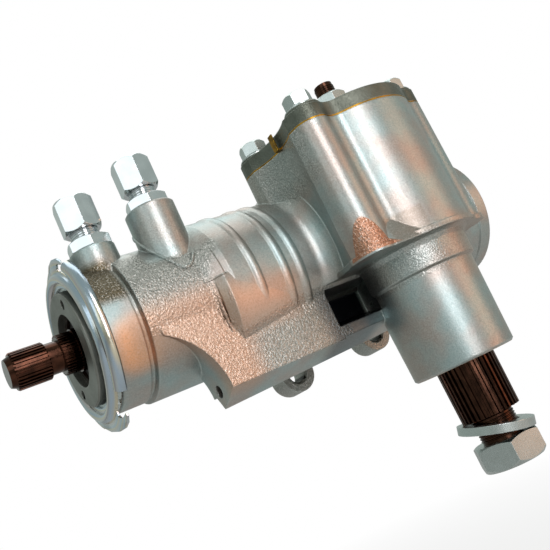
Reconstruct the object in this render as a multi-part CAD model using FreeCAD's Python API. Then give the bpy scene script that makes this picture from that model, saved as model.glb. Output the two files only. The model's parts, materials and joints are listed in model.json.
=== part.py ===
"""Integral power steering gearbox: worm, rack piston and sector shaft in one cast housing.

Axes: +X runs along the worm from the input shaft to the end plug, +Z runs along the
sector shaft from the pitman arm end to the side cover, +Y points to the vehicle frame.
The pieces are drawn about the point of the worm axis that is abreast of the sector shaft,
and then moved so that the origin lies in the first frame bolt hole, on the mounting face.
All sizes are millimetres.
"""
import FreeCAD, Part
import math
import os

Vector = FreeCAD.Vector

# Clearances
RUNNING = 0.05
LOOSE = 0.3
FACE_GAP = 0.1

# Gear train: rack and sector
SECTOR_OFFSET = 45.0
PITCH_RADIUS = 24.0
VIRTUAL_TEETH = 8
PRESSURE_ANGLE = math.radians(25.0)
RACK_ADDENDUM = 4.0
SECTOR_ADDENDUM = 4.6
TOOTH_BOTTOM_GAP = 0.5
TOOTH_BACKLASH = 0.25
SECTOR_FACE_WIDTH = 35.0
SECTOR_TRAVEL = math.radians(45.0)
STEERING_RATIO = 14.0
FLANK_STEPS = 6

# Recirculating ball screw
BALL_RADIUS = 3.5
BALL_CIRCLE_RADIUS = 13.0
BALL_TRACK_CLEARANCE = 0.06
BALLS_PER_TURN = 11
LOADED_TURNS = 2
THREAD_RUNOUT = 4.0
BALL_ZONE_START = -50.0
WORM_RADIUS = 12.4
NUT_BORE_RADIUS = 13.6
GUIDE_Y = 22.5
GUIDE_LOW_Y = 17.5
GUIDE_BEND_RADIUS = 4.6
GUIDE_WALL = 0.5
GUIDE_CLAMP_WIDTH = 6.0
POCKET_FLOOR_Y = 18.0

# Worm tube of the housing, from the nose to the end plug
NOSE_X = -172.0
NOSE_RADIUS = 37.0
PARTING_GROOVE_X = -156.0
PARTING_GROOVE_WIDTH = 1.6
PARTING_GROOVE_DEPTH = 1.2
VALVE_TUBE_RADIUS = 38.5
SHOULDER_START_X = -117.0
SHOULDER_END_X = -105.0
PISTON_TUBE_RADIUS = 44.0
TUBE_RING_XS = (-92.0, -76.0, -67.0)
TUBE_RING_WIDTH = 5.0
TUBE_RING_RISE = 0.9
TUBE_END_STEP_X = 47.0
END_TUBE_RADIUS = 38.5
END_GROOVE_X = 70.0
END_X = 80.0

# Bores along the worm axis
PISTON_BORE_RADIUS = 32.0
PISTON_BORE_START_X = -88.0
SHOULDER_WEB = 5.5
SHOULDER_BORE_RADIUS = 14.5
VALVE_BORE_RADIUS = 23.6
PLUG_THREAD_RADIUS = 30.0
PLUG_SEAT_X = -163.0

# Side web and lower rail
WEB_FRONT_Y = -37.0
WEB_LEFT_X = -150.0
WEB_RIGHT_X = -57.0
WEB_TOP_Z = 3.0
WEB_CORNER_Z = -15.0
WEB_CURVE_X = -131.5
WEB_CURVE_Z = -31.0
RAIL_LEFT_X = -126.5
RAIL_RIGHT_X = 32.0
RAIL_FRONT_Z = -50.0
RAIL_KEEL_Y = -17.0
RAIL_KEEL_Z = -57.0
RAIL_BACK_Y = -9.0
RAIL_BACK_Z = -44.0
RAIL_HEIGHT = 7.0
RAIL_BACK_HEIGHT = 19.0
RAIL_RISE = 5.5
CORE_LEFT_X = -120.5
CORE_TOP_Z = -30.0
CORE_REAR_Y = 6.0
CORE_REAR_Z = -36.0
SWELL_START_X = -110.0
SWELL_END_X = -60.0
SWELL_START_RADIUS = 44.5
SWELL_END_RADIUS = 40.5
SWELL_DROP = 6.0
SWELL_LEAD = 4.0
POCKET_ROOF = 4.0
POCKET_SLOPE = 2.0
POCKET_BACK_Y = -19.0
BRACKET_HOLE_RADIUS = 3.4
BRACKET_HOLE_DEPTH = 18.0
BRACKET_HOLE_Y = -19.0
BRACKET_HOLE_Z = -48.0

# Sector chamber and its boss
CHAMBER_RADIUS = 38.5
CHAMBER_BORE_RADIUS = 30.0
CHAMBER_TOP_Z = 57.0
CHAMBER_BOTTOM_Z = -20.0
CHAMBER_FLOOR_Z = -19.0
CHAMBER_RIM_WIDTH = 1.6
CHAMBER_RIM_HEIGHT = 3.0
BOSS_ROOT_Z = -35.0
BOSS_ROOT_RADIUS = 30.0
COLLAR_RADIUS = 32.4
COLLAR_FILLET = 3.6
BOSS_END_RADIUS = 28.8
BOSS_END_Z = -87.0
BOSS_END_CHAMFER = 1.2

# Side cover and its bolts
BOLT_POSITIONS = ((-45.5, -18.0), (-39.0, -67.0), (33.0, -58.0), (34.0, -17.0))
LOBE_RADIUS = 11.0
LOBE_FILLET = 9.0
WAIST_DEPTH = 5.0
WAIST_RADIUS = 40.0
VALLEY_FILL_TOP_Z = 3.0
VALLEY_POINT = (-27.0, -71.0)
FLANK_SWEEP = 9.0
BOLT_RADIUS = 4.75
BOLT_DEPTH = 22.0
BOLT_HEX = 14.3
BOLT_HEX_HEIGHT = 7.0
BOLT_FLANGE_RADIUS = 9.6
BOLT_FLANGE_HEIGHT = 2.0
BOLT_HOLE_SPARE = 3.0
BOLT_TURN = 17.0
BOLT_TURN_STEP = 23.0
GASKET_THICKNESS = 0.8
TAB_DISTANCE = 28.0
TAB_HALF_WIDTH = 2.0
TAB_REACH = 2.4
TAB_HEIGHT = 9.0
COVER_THICKNESS = 8.0
COVER_PAD_HEIGHT = 1.5
COVER_DOME_RADIUS = 22.0
COVER_DOME_HEIGHT = 5.0
COVER_NECK_RADIUS = 11.5
COVER_NECK_HEIGHT = 10.0
COVER_HUB_RADIUS = 25.0
COVER_HUB_DEPTH = 22.0

# Sector shaft
JOURNAL_RADIUS = 17.5
BUSHING_WALL = 2.4
SECTOR_TOP_Z = 54.0
SPLINE_TOP_Z = -84.0
SPLINE_END_Z = -117.0
SPLINE_TEETH = 32
SPLINE_TOP_RADIUS = 16.6
SPLINE_END_RADIUS = 16.2
SPLINE_DEPTH = 1.3
PITMAN_THREAD_RADIUS = 11.1
PITMAN_THREAD_RECESS = 1.0
NEEDLE_TOP_Z = -32.0
NEEDLE_BOTTOM_Z = -62.0
SEAL_HEIGHT = 6.0
SEAL_GAP = 1.5
NEEDLE_WALL = 4.0

# Pitman nut and washer
NUT_HEX = 33.3
NUT_HEIGHT = 14.0
NUT_TURN = -4.0
WASHER_RADIUS = 20.4
WASHER_BORE_RADIUS = 12.9
WASHER_THICKNESS = 4.5
WASHER_TILT = 15.0
WASHER_LOW_SIDE = math.radians(-40.6)

# Lash adjuster
ADJUSTER_RADIUS = 5.5
ADJUSTER_TOP_Z = 90.0
ADJUSTER_HEAD_RADIUS = 8.0
ADJUSTER_HEAD_HEIGHT = 4.0
LOCKNUT_HEX = 17.5
LOCKNUT_HEIGHT = 6.5
LOCKNUT_TURN = 8.0
ADJUSTER_SOCKET = 5.0
ADJUSTER_HEAD_PLAY = 1.5

# Input shaft
INPUT_TIP_X = -213.4
INPUT_SPLINE_END_X = -194.0
INPUT_NECK_END_X = -187.4
INPUT_COLLAR_END_X = -179.6
INPUT_SPLINE_RADIUS = 9.5
INPUT_SPLINE_TEETH = 30
INPUT_SPLINE_DEPTH = 1.0
INPUT_NECK_RADIUS = 7.9
INPUT_COLLAR_RADIUS = 10.3
INPUT_COLLAR_DEPTH = 0.8
INPUT_COLLAR_TEETH = 36
SPLINE_TIP_SHARE = 0.18
SPLINE_ROOT_SHARE = 0.29
INPUT_JOURNAL_RADIUS = 11.0
INPUT_CORE_RADIUS = 9.0
TORSION_BAR_RADIUS = 3.4
TORSION_BAR_END_RADIUS = 4.1
TORSION_BAR_GRIP = 18.0
VALVE_BODY_RADIUS = 22.0
SPOOL_RADIUS = 13.0
SPOOL_SLOTS = 6
SPOOL_SLOT_INSET = 12.0
OIL_HOLE_RADIUS = 1.8
VALVE_RING_DEPTH = 1.6
VALVE_RING_WIDTH = 2.4
VALVE_RING_SPACING = 0.26
VALVE_RING_RADIUS = VALVE_BORE_RADIUS - RUNNING
VALVE_START_X = -154.0
VALVE_END_X = -104.2
THRUST_BEARING_WIDTH = 5.7
THRUST_CAGE_WIDTH = 2.4

# Adjuster plug and what it holds
PLUG_FACE_X = -180.6
PLUG_RADIUS = 29.6
PLUG_RECESS_RADIUS = 19.0
PLUG_RECESS_FLOOR_X = -172.0
SEAL_BORE_RADIUS = 17.0
BEARING_BORE_RADIUS = 14.5
SEAL_END_X = -166.5
SPANNER_HOLE_RADIUS = 2.6
SPANNER_CIRCLE_RADIUS = 24.6
SPANNER_HOLE_DEPTH = 5.0
SPANNER_ANGLES = (55.0, 235.0)
LOCKRING_OUTER_RADIUS = 36.2
PLUG_ORING_RADIUS = 1.1
PLUG_ORING_INSET = 1.4
LOCKRING_NOTCHES = 8
LOCKRING_NOTCH_RADIUS = 2.0
INPUT_BEARING_END_X = -160.5
SNAP_RING_OFFSET = 4.8
SNAP_RING_THICKNESS = 1.5
SNAP_RING_WIDTH = 2.4
SNAP_LUG_RADIUS = 2.9
SNAP_LUG_HOLE_RADIUS = 1.0
SNAP_LUG_Y = -14.2
SNAP_LUG_SPREAD = 7.0
LOCKRING_FACE_X = -175.9

# Shield retainer ring, pressed from sheet
SHEET = 1.2
RETAINER_INNER_RADIUS = 31.4
RETAINER_BEAD_RADIUS = 2.6
RETAINER_BEAD_CENTRES = (36.4, 42.6)
RETAINER_FACE_X = -178.0
RETAINER_STEP = 3.0
EAR_RADIUS = 48.0
EAR_HALF_ANGLE = 21.0
EAR_ANGLES = (80.0, 262.0)

# Port bosses and fittings: x, y, boss radius, boss top
PRESSURE_PORT = (-121.0, -19.0, 13.5, 54.0)
RETURN_PORT = (-156.0, -12.0, 12.0, 43.0)
PORT_BORE_RADIUS = 8.1
PORT_DEPTH = 13.0
PORT_PASSAGE_RADIUS = 3.5
ADAPTER_HEX = 20.6
ADAPTER_HEX_HEIGHT = 6.0
ADAPTER_THREAD_RADIUS = 8.0
ADAPTER_TOP_RADIUS = 7.1
ADAPTER_NECK = 4.5
CAP_NUT_HEX = 19.05
CAP_NUT_HEIGHT = 18.5
CAP_NUT_WALL = 2.5
CAP_NUT_TURN = 24.0
ADAPTER_TURN = 20.0
ADAPTER_TURN_STEP = 4.0
ADAPTER_BORE_RADIUS = 3.0
PORT_PASSAGE_END_Z = 8.0
PORT_SEAT_DEPTH = 5.0
PORT_SEAT_HOLE_RADIUS = 2.0

# Frame mounting
MOUNT_FACE_Y = 45.0
MOUNT_FRONT_Y = 30.0
MOUNT_BOSS_RADIUS = 11.2
MOUNT_HOLE_RADIUS = 5.1
MOUNT_SINK_RADIUS = 6.6
MOUNT_HOLES = ((-55.0, -52.0), (8.5, -48.0), (-22.0, 46.0))
MOUNT_WEB_LENGTH = 30.0
MOUNT_WEB_SPREAD = 5.0
MOUNT_STEM_INSET = 3.0
MOUNT_STEM_NEAR = 6.0
MOUNT_STEM_FAR = 14.0

# Rack piston
PISTON_RADIUS = PISTON_BORE_RADIUS - 0.08
PISTON_START_X = -62.0
PISTON_END_X = 50.0
RACK_FLAT_HALF = 40.0
RACK_PLUG_RADIUS = 13.0
RACK_PLUG_LENGTH = 13.0
PISTON_RING_X = 40.0
PISTON_RING_WIDTH = 4.0
PISTON_RING_DEPTH = 2.5

# End plug
END_PLUG_THICKNESS = 7.5
END_RING_RADIUS = 1.4
END_ORING_RADIUS = 1.1
END_PLUG_INSET = 3.4
END_RING_INSET = 2.0
END_RING_GAP = 8.0

# Values worked out from the driving dimensions
TOOTH_PITCH = 2.0 * math.pi * PITCH_RADIUS / VIRTUAL_TEETH
RACK_TRAVEL = PITCH_RADIUS * SECTOR_TRAVEL
WORM_LEAD = 2.0 * math.pi * PITCH_RADIUS / STEERING_RATIO
RACK_PITCH_Y = -SECTOR_OFFSET + PITCH_RADIUS
RACK_TIP_Y = RACK_PITCH_Y - RACK_ADDENDUM
RACK_ROOT_Y = RACK_PITCH_Y + SECTOR_ADDENDUM + TOOTH_BOTTOM_GAP
SECTOR_TIP_RADIUS = PITCH_RADIUS + SECTOR_ADDENDUM
SECTOR_ROOT_RADIUS = PITCH_RADIUS - RACK_ADDENDUM - TOOTH_BOTTOM_GAP
SHOULDER_X = PISTON_BORE_START_X - SHOULDER_WEB
BALL_ZONE_END = BALL_ZONE_START + LOADED_TURNS * WORM_LEAD
WORM_THREAD_START = BALL_ZONE_START - RACK_TRAVEL - THREAD_RUNOUT
WORM_THREAD_END = BALL_ZONE_END + RACK_TRAVEL + THREAD_RUNOUT
GASKET_TOP_Z = CHAMBER_TOP_Z + GASKET_THICKNESS
PLUG_ORING_CIRCLE = VALVE_BORE_RADIUS - RUNNING - PLUG_ORING_RADIUS
COVER_TOP_Z = GASKET_TOP_Z + COVER_THICKNESS
COVER_SEAT_Z = COVER_TOP_Z + COVER_PAD_HEIGHT
COVER_NECK_Z = COVER_TOP_Z + COVER_NECK_HEIGHT
TILT_SINE = math.sin(math.radians(WASHER_TILT))
WASHER_TOP_Z = SPLINE_END_Z - SPLINE_END_RADIUS * TILT_SINE - LOOSE
NUT_TOP_Z = WASHER_TOP_Z - WASHER_THICKNESS - NUT_HEX / 2.0 * TILT_SINE - LOOSE
PITMAN_THREAD_END_Z = NUT_TOP_Z - NUT_HEIGHT + PITMAN_THREAD_RECESS
END_PLUG_OUTER_X = END_X - END_PLUG_INSET
END_RING_X = END_X - END_RING_INSET
PLUG_ORING_X = PLUG_SEAT_X + PLUG_ORING_INSET
SECTOR_BORE_RADIUS = JOURNAL_RADIUS + NEEDLE_WALL
ADJUSTER_HEAD_DEPTH = ADJUSTER_HEAD_HEIGHT + ADJUSTER_HEAD_PLAY
DATUM = Vector(MOUNT_HOLES[0][0], MOUNT_FACE_Y, MOUNT_HOLES[0][1])
END_PLUG_INNER_X = END_PLUG_OUTER_X - END_PLUG_THICKNESS


def rod_x(start, end, radius, y=0.0, z=0.0):
    """Round bar along X."""
    return Part.makeCylinder(radius, end - start, Vector(start, y, z), Vector(1, 0, 0))


def rod_y(start, end, radius, x, z):
    """Round bar along Y."""
    return Part.makeCylinder(radius, end - start, Vector(x, start, z), Vector(0, 1, 0))


def rod_z(start, end, radius, x=0.0, y=-SECTOR_OFFSET):
    """Round bar along Z, on the sector axis unless placed elsewhere."""
    return Part.makeCylinder(radius, end - start, Vector(x, y, start), Vector(0, 0, 1))


def block(x0, x1, y0, y1, z0, z1):
    """Box between two corners."""
    return Part.makeBox(x1 - x0, y1 - y0, z1 - z0, Vector(x0, y0, z0))


def turned_x(points):
    """Solid of revolution about the worm axis from (x, radius) points."""
    outline = [Vector(x, 0, radius) for x, radius in points]
    face = Part.Face(Part.makePolygon(outline + outline[:1]))
    return face.revolve(Vector(0, 0, 0), Vector(1, 0, 0), 360)


def turned_z(points, x=0.0, y=-SECTOR_OFFSET):
    """Solid of revolution about a vertical axis from (radius, z) points."""
    outline = [Vector(x + radius, y, z) for radius, z in points]
    face = Part.Face(Part.makePolygon(outline + outline[:1]))
    return face.revolve(Vector(x, y, 0), Vector(0, 0, 1), 360)


def prism(corners, direction):
    """Straight extrusion of a flat outline."""
    return Part.Face(Part.makePolygon(corners + corners[:1])).extrude(direction)


def hexagon_z(start, end, across_flats, x, y, turn=0.0):
    """Hexagonal bar along Z."""
    reach = across_flats / math.sqrt(3.0)
    corners = []
    for index in range(6):
        angle = math.radians(turn + 60.0 * index)
        corners.append(Vector(x + reach * math.cos(angle), y + reach * math.sin(angle), start))
    return prism(corners, Vector(0, 0, end - start))


def chamfered_hexagon(start, end, across_flats, x, y, turn, low, high):
    """Hexagonal bar along Z with its corners turned off by low and high at the two ends."""
    reach = across_flats / math.sqrt(3.0) + 0.01
    flat = across_flats / 2.0
    outline = [(0.0, start), (flat - 0.3, start) if low else (reach, start)]
    if low:
        outline.append((reach, start + low))
    if high:
        outline += [(reach, end - high), (flat - 0.3, end), (0.0, end)]
    else:
        outline += [(reach, end), (0.0, end)]
    return hexagon_z(start, end, across_flats, x, y, turn).common(turned_z(outline, x, y))


def stadium(first, second, radius, z0, z1):
    """Hull of two equal upright cylinders."""
    gap = Vector(second[0] - first[0], second[1] - first[1], 0)
    side = Vector(-gap.y, gap.x, 0).normalize() * radius
    start = Vector(first[0], first[1], z0)
    end = Vector(second[0], second[1], z0)
    wall = prism([start + side, end + side, end - side, start - side], Vector(0, 0, z1 - z0))
    rods = [rod_z(z0, z1, radius, *first), rod_z(z0, z1, radius, *second)]
    return wall.fuse(rods)


def splined_wire(origin, across, up, tip_radius, root_radius, teeth):
    """Closed outline of a serrated shaft in the plane of two unit directions."""
    corners = []
    step = 2.0 * math.pi / teeth
    low, high = SPLINE_ROOT_SHARE, SPLINE_TIP_SHARE
    tooth = ((-low, root_radius), (-high, tip_radius), (high, tip_radius), (low, root_radius))
    for index in range(teeth):
        for share, radius in tooth:
            angle = (index + share) * step
            corners.append(origin + across * (radius * math.cos(angle)) + up * (radius * math.sin(angle)))
    return Part.makePolygon(corners + corners[:1])


def lobed_outline(z0, z1, growth=0.0):
    """Sector chamber block: the gear circle, a lobe at each bolt and the flat end walls."""
    left, near, right, rear = BOLT_POSITIONS
    radius = LOBE_RADIUS + growth
    gear_circle = rod_z(z0, z1, CHAMBER_RADIUS + growth)
    walls = [
        stadium(left, near, radius, z0, z1),
        stadium(right, rear, radius, z0, z1),
        stadium(left, rear, radius, z0, z1),
        prism(
            [Vector(x, y, z0) for x, y in (left, near, right, rear)],
            Vector(0, 0, z1 - z0),
        ),
    ]
    body = gear_circle.fuse(walls).removeSplitter()
    return round_valleys(body, z0, z1, growth).cut(waist_cutter(z0, z1, growth))


def waist_cutter(z0, z1, growth):
    """Round tool that hollows the wall between the two lobes on the input side."""
    left, near = BOLT_POSITIONS[:2]
    along = Vector(near[0] - left[0], near[1] - left[1], 0).normalize()
    outward = Vector(along.y, -along.x, 0)
    reach = LOBE_RADIUS + growth - WAIST_DEPTH + WAIST_RADIUS
    centre = Vector((left[0] + near[0]) / 2.0, (left[1] + near[1]) / 2.0, 0) + outward * reach
    return rod_z(z0 - 1.0, z1 + 1.0, WAIST_RADIUS, centre.x, centre.y)


def waist_x():
    """Place of the hollowed wall along X, midway between its two lobes."""
    return (BOLT_POSITIONS[0][0] + BOLT_POSITIONS[1][0]) / 2.0 - LOBE_RADIUS + WAIST_DEPTH


def round_valleys(body, z0, z1, growth):
    """Fillet the two upright valleys between the gear circle and the front lobes."""
    valleys = []
    for edge in body.Edges:
        if len(edge.Vertexes) != 2:
            continue
        low, high = sorted(vertex.Point.z for vertex in edge.Vertexes)
        if abs(low - z0) > 0.01 or abs(high - z1) > 0.01:
            continue
        point = edge.Vertexes[0].Point
        from_axis = math.hypot(point.x, point.y + SECTOR_OFFSET)
        on_circle = abs(from_axis - CHAMBER_RADIUS - growth) < 0.05
        if on_circle and point.y < -SECTOR_OFFSET:
            valleys.append(edge)
    return body.makeFillet(LOBE_FILLET, valleys)


def ball_track(start, end, radius):
    """Helical channel of the ball screw, cut by a ball that follows the worm lead."""
    helix = Part.makeHelix(WORM_LEAD, end - start, BALL_CIRCLE_RADIUS)
    tangent_rise = WORM_LEAD / (2.0 * math.pi)
    tangent = Vector(0, BALL_CIRCLE_RADIUS, tangent_rise)
    circle = Part.Circle(Vector(BALL_CIRCLE_RADIUS, 0, 0), tangent, radius)
    profile = Part.Wire(circle.toShape())
    track = Part.Wire(helix).makePipeShell([profile], True, True)
    phase = 360.0 * (start - BALL_ZONE_START) / WORM_LEAD
    track.rotate(Vector(0, 0, 0), Vector(0, 0, 1), phase)
    track.rotate(Vector(0, 0, 0), Vector(0, 1, 0), 90)
    track.translate(Vector(start, 0, 0))
    return track


def ball_position(turns):
    """Centre of a ball after so many turns along the loaded track."""
    angle = 2.0 * math.pi * turns
    x = BALL_ZONE_START + WORM_LEAD * turns
    return Vector(x, BALL_CIRCLE_RADIUS * math.sin(angle), -BALL_CIRCLE_RADIUS * math.cos(angle))


def worm_tube():
    """Outside of the tube along the worm axis."""
    groove_end = PARTING_GROOVE_X + PARTING_GROOVE_WIDTH
    groove_radius = NOSE_RADIUS - PARTING_GROOVE_DEPTH
    outline = [
        (NOSE_X, 0.0),
        (NOSE_X, NOSE_RADIUS - 1.0),
        (NOSE_X + 1.0, NOSE_RADIUS),
        (PARTING_GROOVE_X - 0.6, NOSE_RADIUS),
        (PARTING_GROOVE_X, groove_radius),
        (groove_end, groove_radius),
        (groove_end + 1.2, VALVE_TUBE_RADIUS),
        (SHOULDER_START_X, VALVE_TUBE_RADIUS),
        (SHOULDER_END_X, PISTON_TUBE_RADIUS),
        (TUBE_END_STEP_X, PISTON_TUBE_RADIUS),
        (TUBE_END_STEP_X + 8.0, END_TUBE_RADIUS),
        (END_GROOVE_X - 1.2, END_TUBE_RADIUS),
        (END_GROOVE_X, END_TUBE_RADIUS - 1.2),
        (END_GROOVE_X + 1.2, END_TUBE_RADIUS),
        (END_X - 1.2, END_TUBE_RADIUS),
        (END_X, END_TUBE_RADIUS - 1.2),
        (END_X, 0.0),
    ]
    tube = turned_x(outline)
    rings = []
    for centre in TUBE_RING_XS:
        rings.append(tube_ring(centre))
    return tube.fuse(rings)


def tube_ring(centre):
    """Low rounded band cast around the cylinder."""
    half = TUBE_RING_WIDTH / 2.0
    base = PISTON_TUBE_RADIUS - 1.0
    crest = PISTON_TUBE_RADIUS + TUBE_RING_RISE
    arc = Part.Arc(
        Vector(centre - half, 0, PISTON_TUBE_RADIUS),
        Vector(centre, 0, crest),
        Vector(centre + half, 0, PISTON_TUBE_RADIUS),
    ).toShape()
    sides = Part.makePolygon(
        [
            Vector(centre + half, 0, PISTON_TUBE_RADIUS),
            Vector(centre + half, 0, base),
            Vector(centre - half, 0, base),
            Vector(centre - half, 0, PISTON_TUBE_RADIUS),
        ]
    )
    face = Part.Face(Part.Wire([arc] + sides.Edges))
    return face.revolve(Vector(0, 0, 0), Vector(1, 0, 0), 360)


def side_web():
    """Flat cast web from the tube down to the rail, with its curved lower left edge."""
    shape_top = [
        Vector(WEB_LEFT_X + 2.0, WEB_FRONT_Y, WEB_CORNER_Z),
        Vector(WEB_LEFT_X, WEB_FRONT_Y, WEB_TOP_Z),
        Vector(WEB_RIGHT_X, WEB_FRONT_Y, WEB_TOP_Z),
        Vector(WEB_RIGHT_X, WEB_FRONT_Y, RAIL_FRONT_Z),
        Vector(RAIL_LEFT_X, WEB_FRONT_Y, RAIL_FRONT_Z),
    ]
    arc = Part.Arc(
        shape_top[4],
        Vector(WEB_CURVE_X, WEB_FRONT_Y, WEB_CURVE_Z),
        shape_top[0],
    ).toShape()
    sides = Part.makePolygon(shape_top)
    face = Part.Face(Part.Wire(sides.Edges + [arc]))
    return face.extrude(Vector(0, RAIL_BACK_Y - WEB_FRONT_Y, 0))


def lower_rail():
    """Keeled rail along the bottom edge of the web, rising a little towards the pitman boss."""
    ends = []
    for x, rise in ((RAIL_LEFT_X, 0.0), (RAIL_RIGHT_X, RAIL_RISE)):
        corners = [
            Vector(x, WEB_FRONT_Y, RAIL_FRONT_Z + rise / 2.0),
            Vector(x, RAIL_KEEL_Y, RAIL_KEEL_Z + rise),
            Vector(x, RAIL_BACK_Y, RAIL_BACK_Z + rise),
            Vector(x, RAIL_BACK_Y, RAIL_FRONT_Z + RAIL_BACK_HEIGHT),
            Vector(x, WEB_FRONT_Y, RAIL_FRONT_Z + RAIL_HEIGHT),
        ]
        ends.append(Part.makePolygon(corners + corners[:1]))
    return Part.makeLoft(ends, True, True)


def rail_core():
    """Casting behind the rail, under the tube."""
    section = [
        Vector(CORE_LEFT_X, POCKET_BACK_Y, CORE_TOP_Z),
        Vector(CORE_LEFT_X, POCKET_BACK_Y, RAIL_FRONT_Z + RAIL_RISE),
        Vector(CORE_LEFT_X, RAIL_BACK_Y, RAIL_BACK_Z + RAIL_RISE),
        Vector(CORE_LEFT_X, CORE_REAR_Y, CORE_REAR_Z),
    ]
    return prism(section, Vector(RAIL_RIGHT_X - CORE_LEFT_X, 0, 0))


def tube_swell():
    """Smooth swelling of the tube, low on its front, that stands proud of the web."""
    centre = Vector(SWELL_START_X, 0, -SWELL_DROP)
    length = SWELL_END_X - SWELL_START_X
    body = Part.makeCone(SWELL_START_RADIUS, SWELL_END_RADIUS, length, centre, Vector(1, 0, 0))
    lead_radius = SWELL_START_RADIUS - SWELL_LEAD
    lead = Part.makeCone(SWELL_START_RADIUS, lead_radius, SWELL_LEAD, centre, Vector(-1, 0, 0))
    front = block(
        SWELL_START_X - SWELL_LEAD,
        SWELL_END_X,
        -SWELL_START_RADIUS,
        WEB_FRONT_Y + SWELL_LEAD,
        -SWELL_START_RADIUS,
        WEB_TOP_Z,
    )
    return body.fuse(lead).common(front)


def sector_chamber():
    """Lobed chamber, its bottom rim and the tapered pitman boss."""
    walls = lobed_outline(CHAMBER_BOTTOM_Z, CHAMBER_TOP_Z)
    rim_top = CHAMBER_BOTTOM_Z + CHAMBER_RIM_HEIGHT
    rim = lobed_outline(CHAMBER_BOTTOM_Z, rim_top, CHAMBER_RIM_WIDTH)
    boss = turned_z(
        [
            (0.0, CHAMBER_BOTTOM_Z + 1.0),
            (COLLAR_RADIUS + COLLAR_FILLET, CHAMBER_BOTTOM_Z + 1.0),
            (COLLAR_RADIUS + COLLAR_FILLET, CHAMBER_BOTTOM_Z),
            (COLLAR_RADIUS + COLLAR_FILLET * 0.3, CHAMBER_BOTTOM_Z - COLLAR_FILLET * 0.3),
            (COLLAR_RADIUS, CHAMBER_BOTTOM_Z - COLLAR_FILLET),
            (COLLAR_RADIUS - 0.4, BOSS_ROOT_Z),
            (BOSS_ROOT_RADIUS, BOSS_ROOT_Z - 1.2),
            (BOSS_END_RADIUS, BOSS_END_Z + BOSS_END_CHAMFER),
            (BOSS_END_RADIUS - BOSS_END_CHAMFER, BOSS_END_Z),
            (0.0, BOSS_END_Z),
        ]
    )
    return walls.fuse([rim, boss, valley_fill(), flank_sweep()])


def valley_fill():
    """Leaning triangular web that fills the foot of the valley beside the near lobe."""
    lobe = Vector(BOLT_POSITIONS[1][0], BOLT_POSITIONS[1][1], CHAMBER_BOTTOM_Z)
    axis = Vector(0, -SECTOR_OFFSET, CHAMBER_BOTTOM_Z)
    span = axis - lobe
    heading = math.atan2(span.y, span.x)
    lean = math.acos(-(CHAMBER_RADIUS - LOBE_RADIUS) / span.Length)
    normal = Vector(math.cos(heading - lean), math.sin(heading - lean), 0)
    foot = [lobe, lobe + normal * LOBE_RADIUS, axis + normal * CHAMBER_RADIUS, axis]
    tip = Vector(VALLEY_POINT[0], VALLEY_POINT[1], VALLEY_FILL_TOP_Z)
    faces = [Part.Face(Part.makePolygon(foot + foot[:1]))]
    for index in range(4):
        side = [foot[index], foot[(index + 1) % 4], tip]
        faces.append(Part.Face(Part.makePolygon(side + side[:1])))
    fill = Part.Solid(Part.Shell(faces))
    if fill.Volume < 0:
        fill.reverse()
    return fill


def flank_sweep():
    """Concave sweep from the tube up to the input side wall of the chamber."""
    wall_x = waist_x()
    sweep = FLANK_SWEEP
    corner = Vector(wall_x, 0, PISTON_TUBE_RADIUS)
    outer = Vector(wall_x, 0, PISTON_TUBE_RADIUS + sweep)
    inner = Vector(wall_x - sweep, 0, PISTON_TUBE_RADIUS)
    middle = Vector(wall_x - sweep * 0.293, 0, PISTON_TUBE_RADIUS + sweep * 0.293)
    arc = Part.Arc(inner, middle, outer).toShape()
    base = Part.makePolygon(
        [outer, outer + Vector(6, 0, 0), corner + Vector(6, 0, -2), inner + Vector(0, 0, -2), inner]
    )
    ring = Part.Face(Part.Wire([arc] + base.Edges)).revolve(Vector(0, 0, 0), Vector(1, 0, 0), 360)
    lobe_y = BOLT_POSITIONS[1][1] - LOBE_RADIUS
    rear_y = BOLT_POSITIONS[0][1] + LOBE_RADIUS
    zone = block(wall_x - sweep - 1.0, wall_x + 6.0, lobe_y, rear_y, CHAMBER_BOTTOM_Z, CHAMBER_TOP_Z)
    return ring.common(zone)


def port_bosses():
    """Upright bosses of the pressure and return ports."""
    pressure_x, pressure_y, pressure_radius, pressure_top = PRESSURE_PORT
    return_x, return_y, return_radius, return_top = RETURN_PORT
    pressure = turned_z(
        [
            (0.0, 12.0),
            (pressure_radius, 12.0),
            (pressure_radius, pressure_top - 0.8),
            (pressure_radius - 0.8, pressure_top),
            (0.0, pressure_top),
        ],
        pressure_x,
        pressure_y,
    )
    gusset = prism(
        [
            Vector(pressure_x, pressure_y, pressure_top - 9.0),
            Vector(pressure_x + pressure_radius + 13.0, pressure_y, 30.0),
            Vector(pressure_x, pressure_y, 30.0),
        ],
        Vector(0, pressure_radius, 0),
    )
    back = turned_z(
        [
            (0.0, 20.0),
            (return_radius + 0.8, 20.0),
            (return_radius, return_top - 0.6),
            (return_radius - 0.6, return_top),
            (0.0, return_top),
        ],
        return_x,
        return_y,
    )
    return pressure.fuse([gusset, back])


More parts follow.
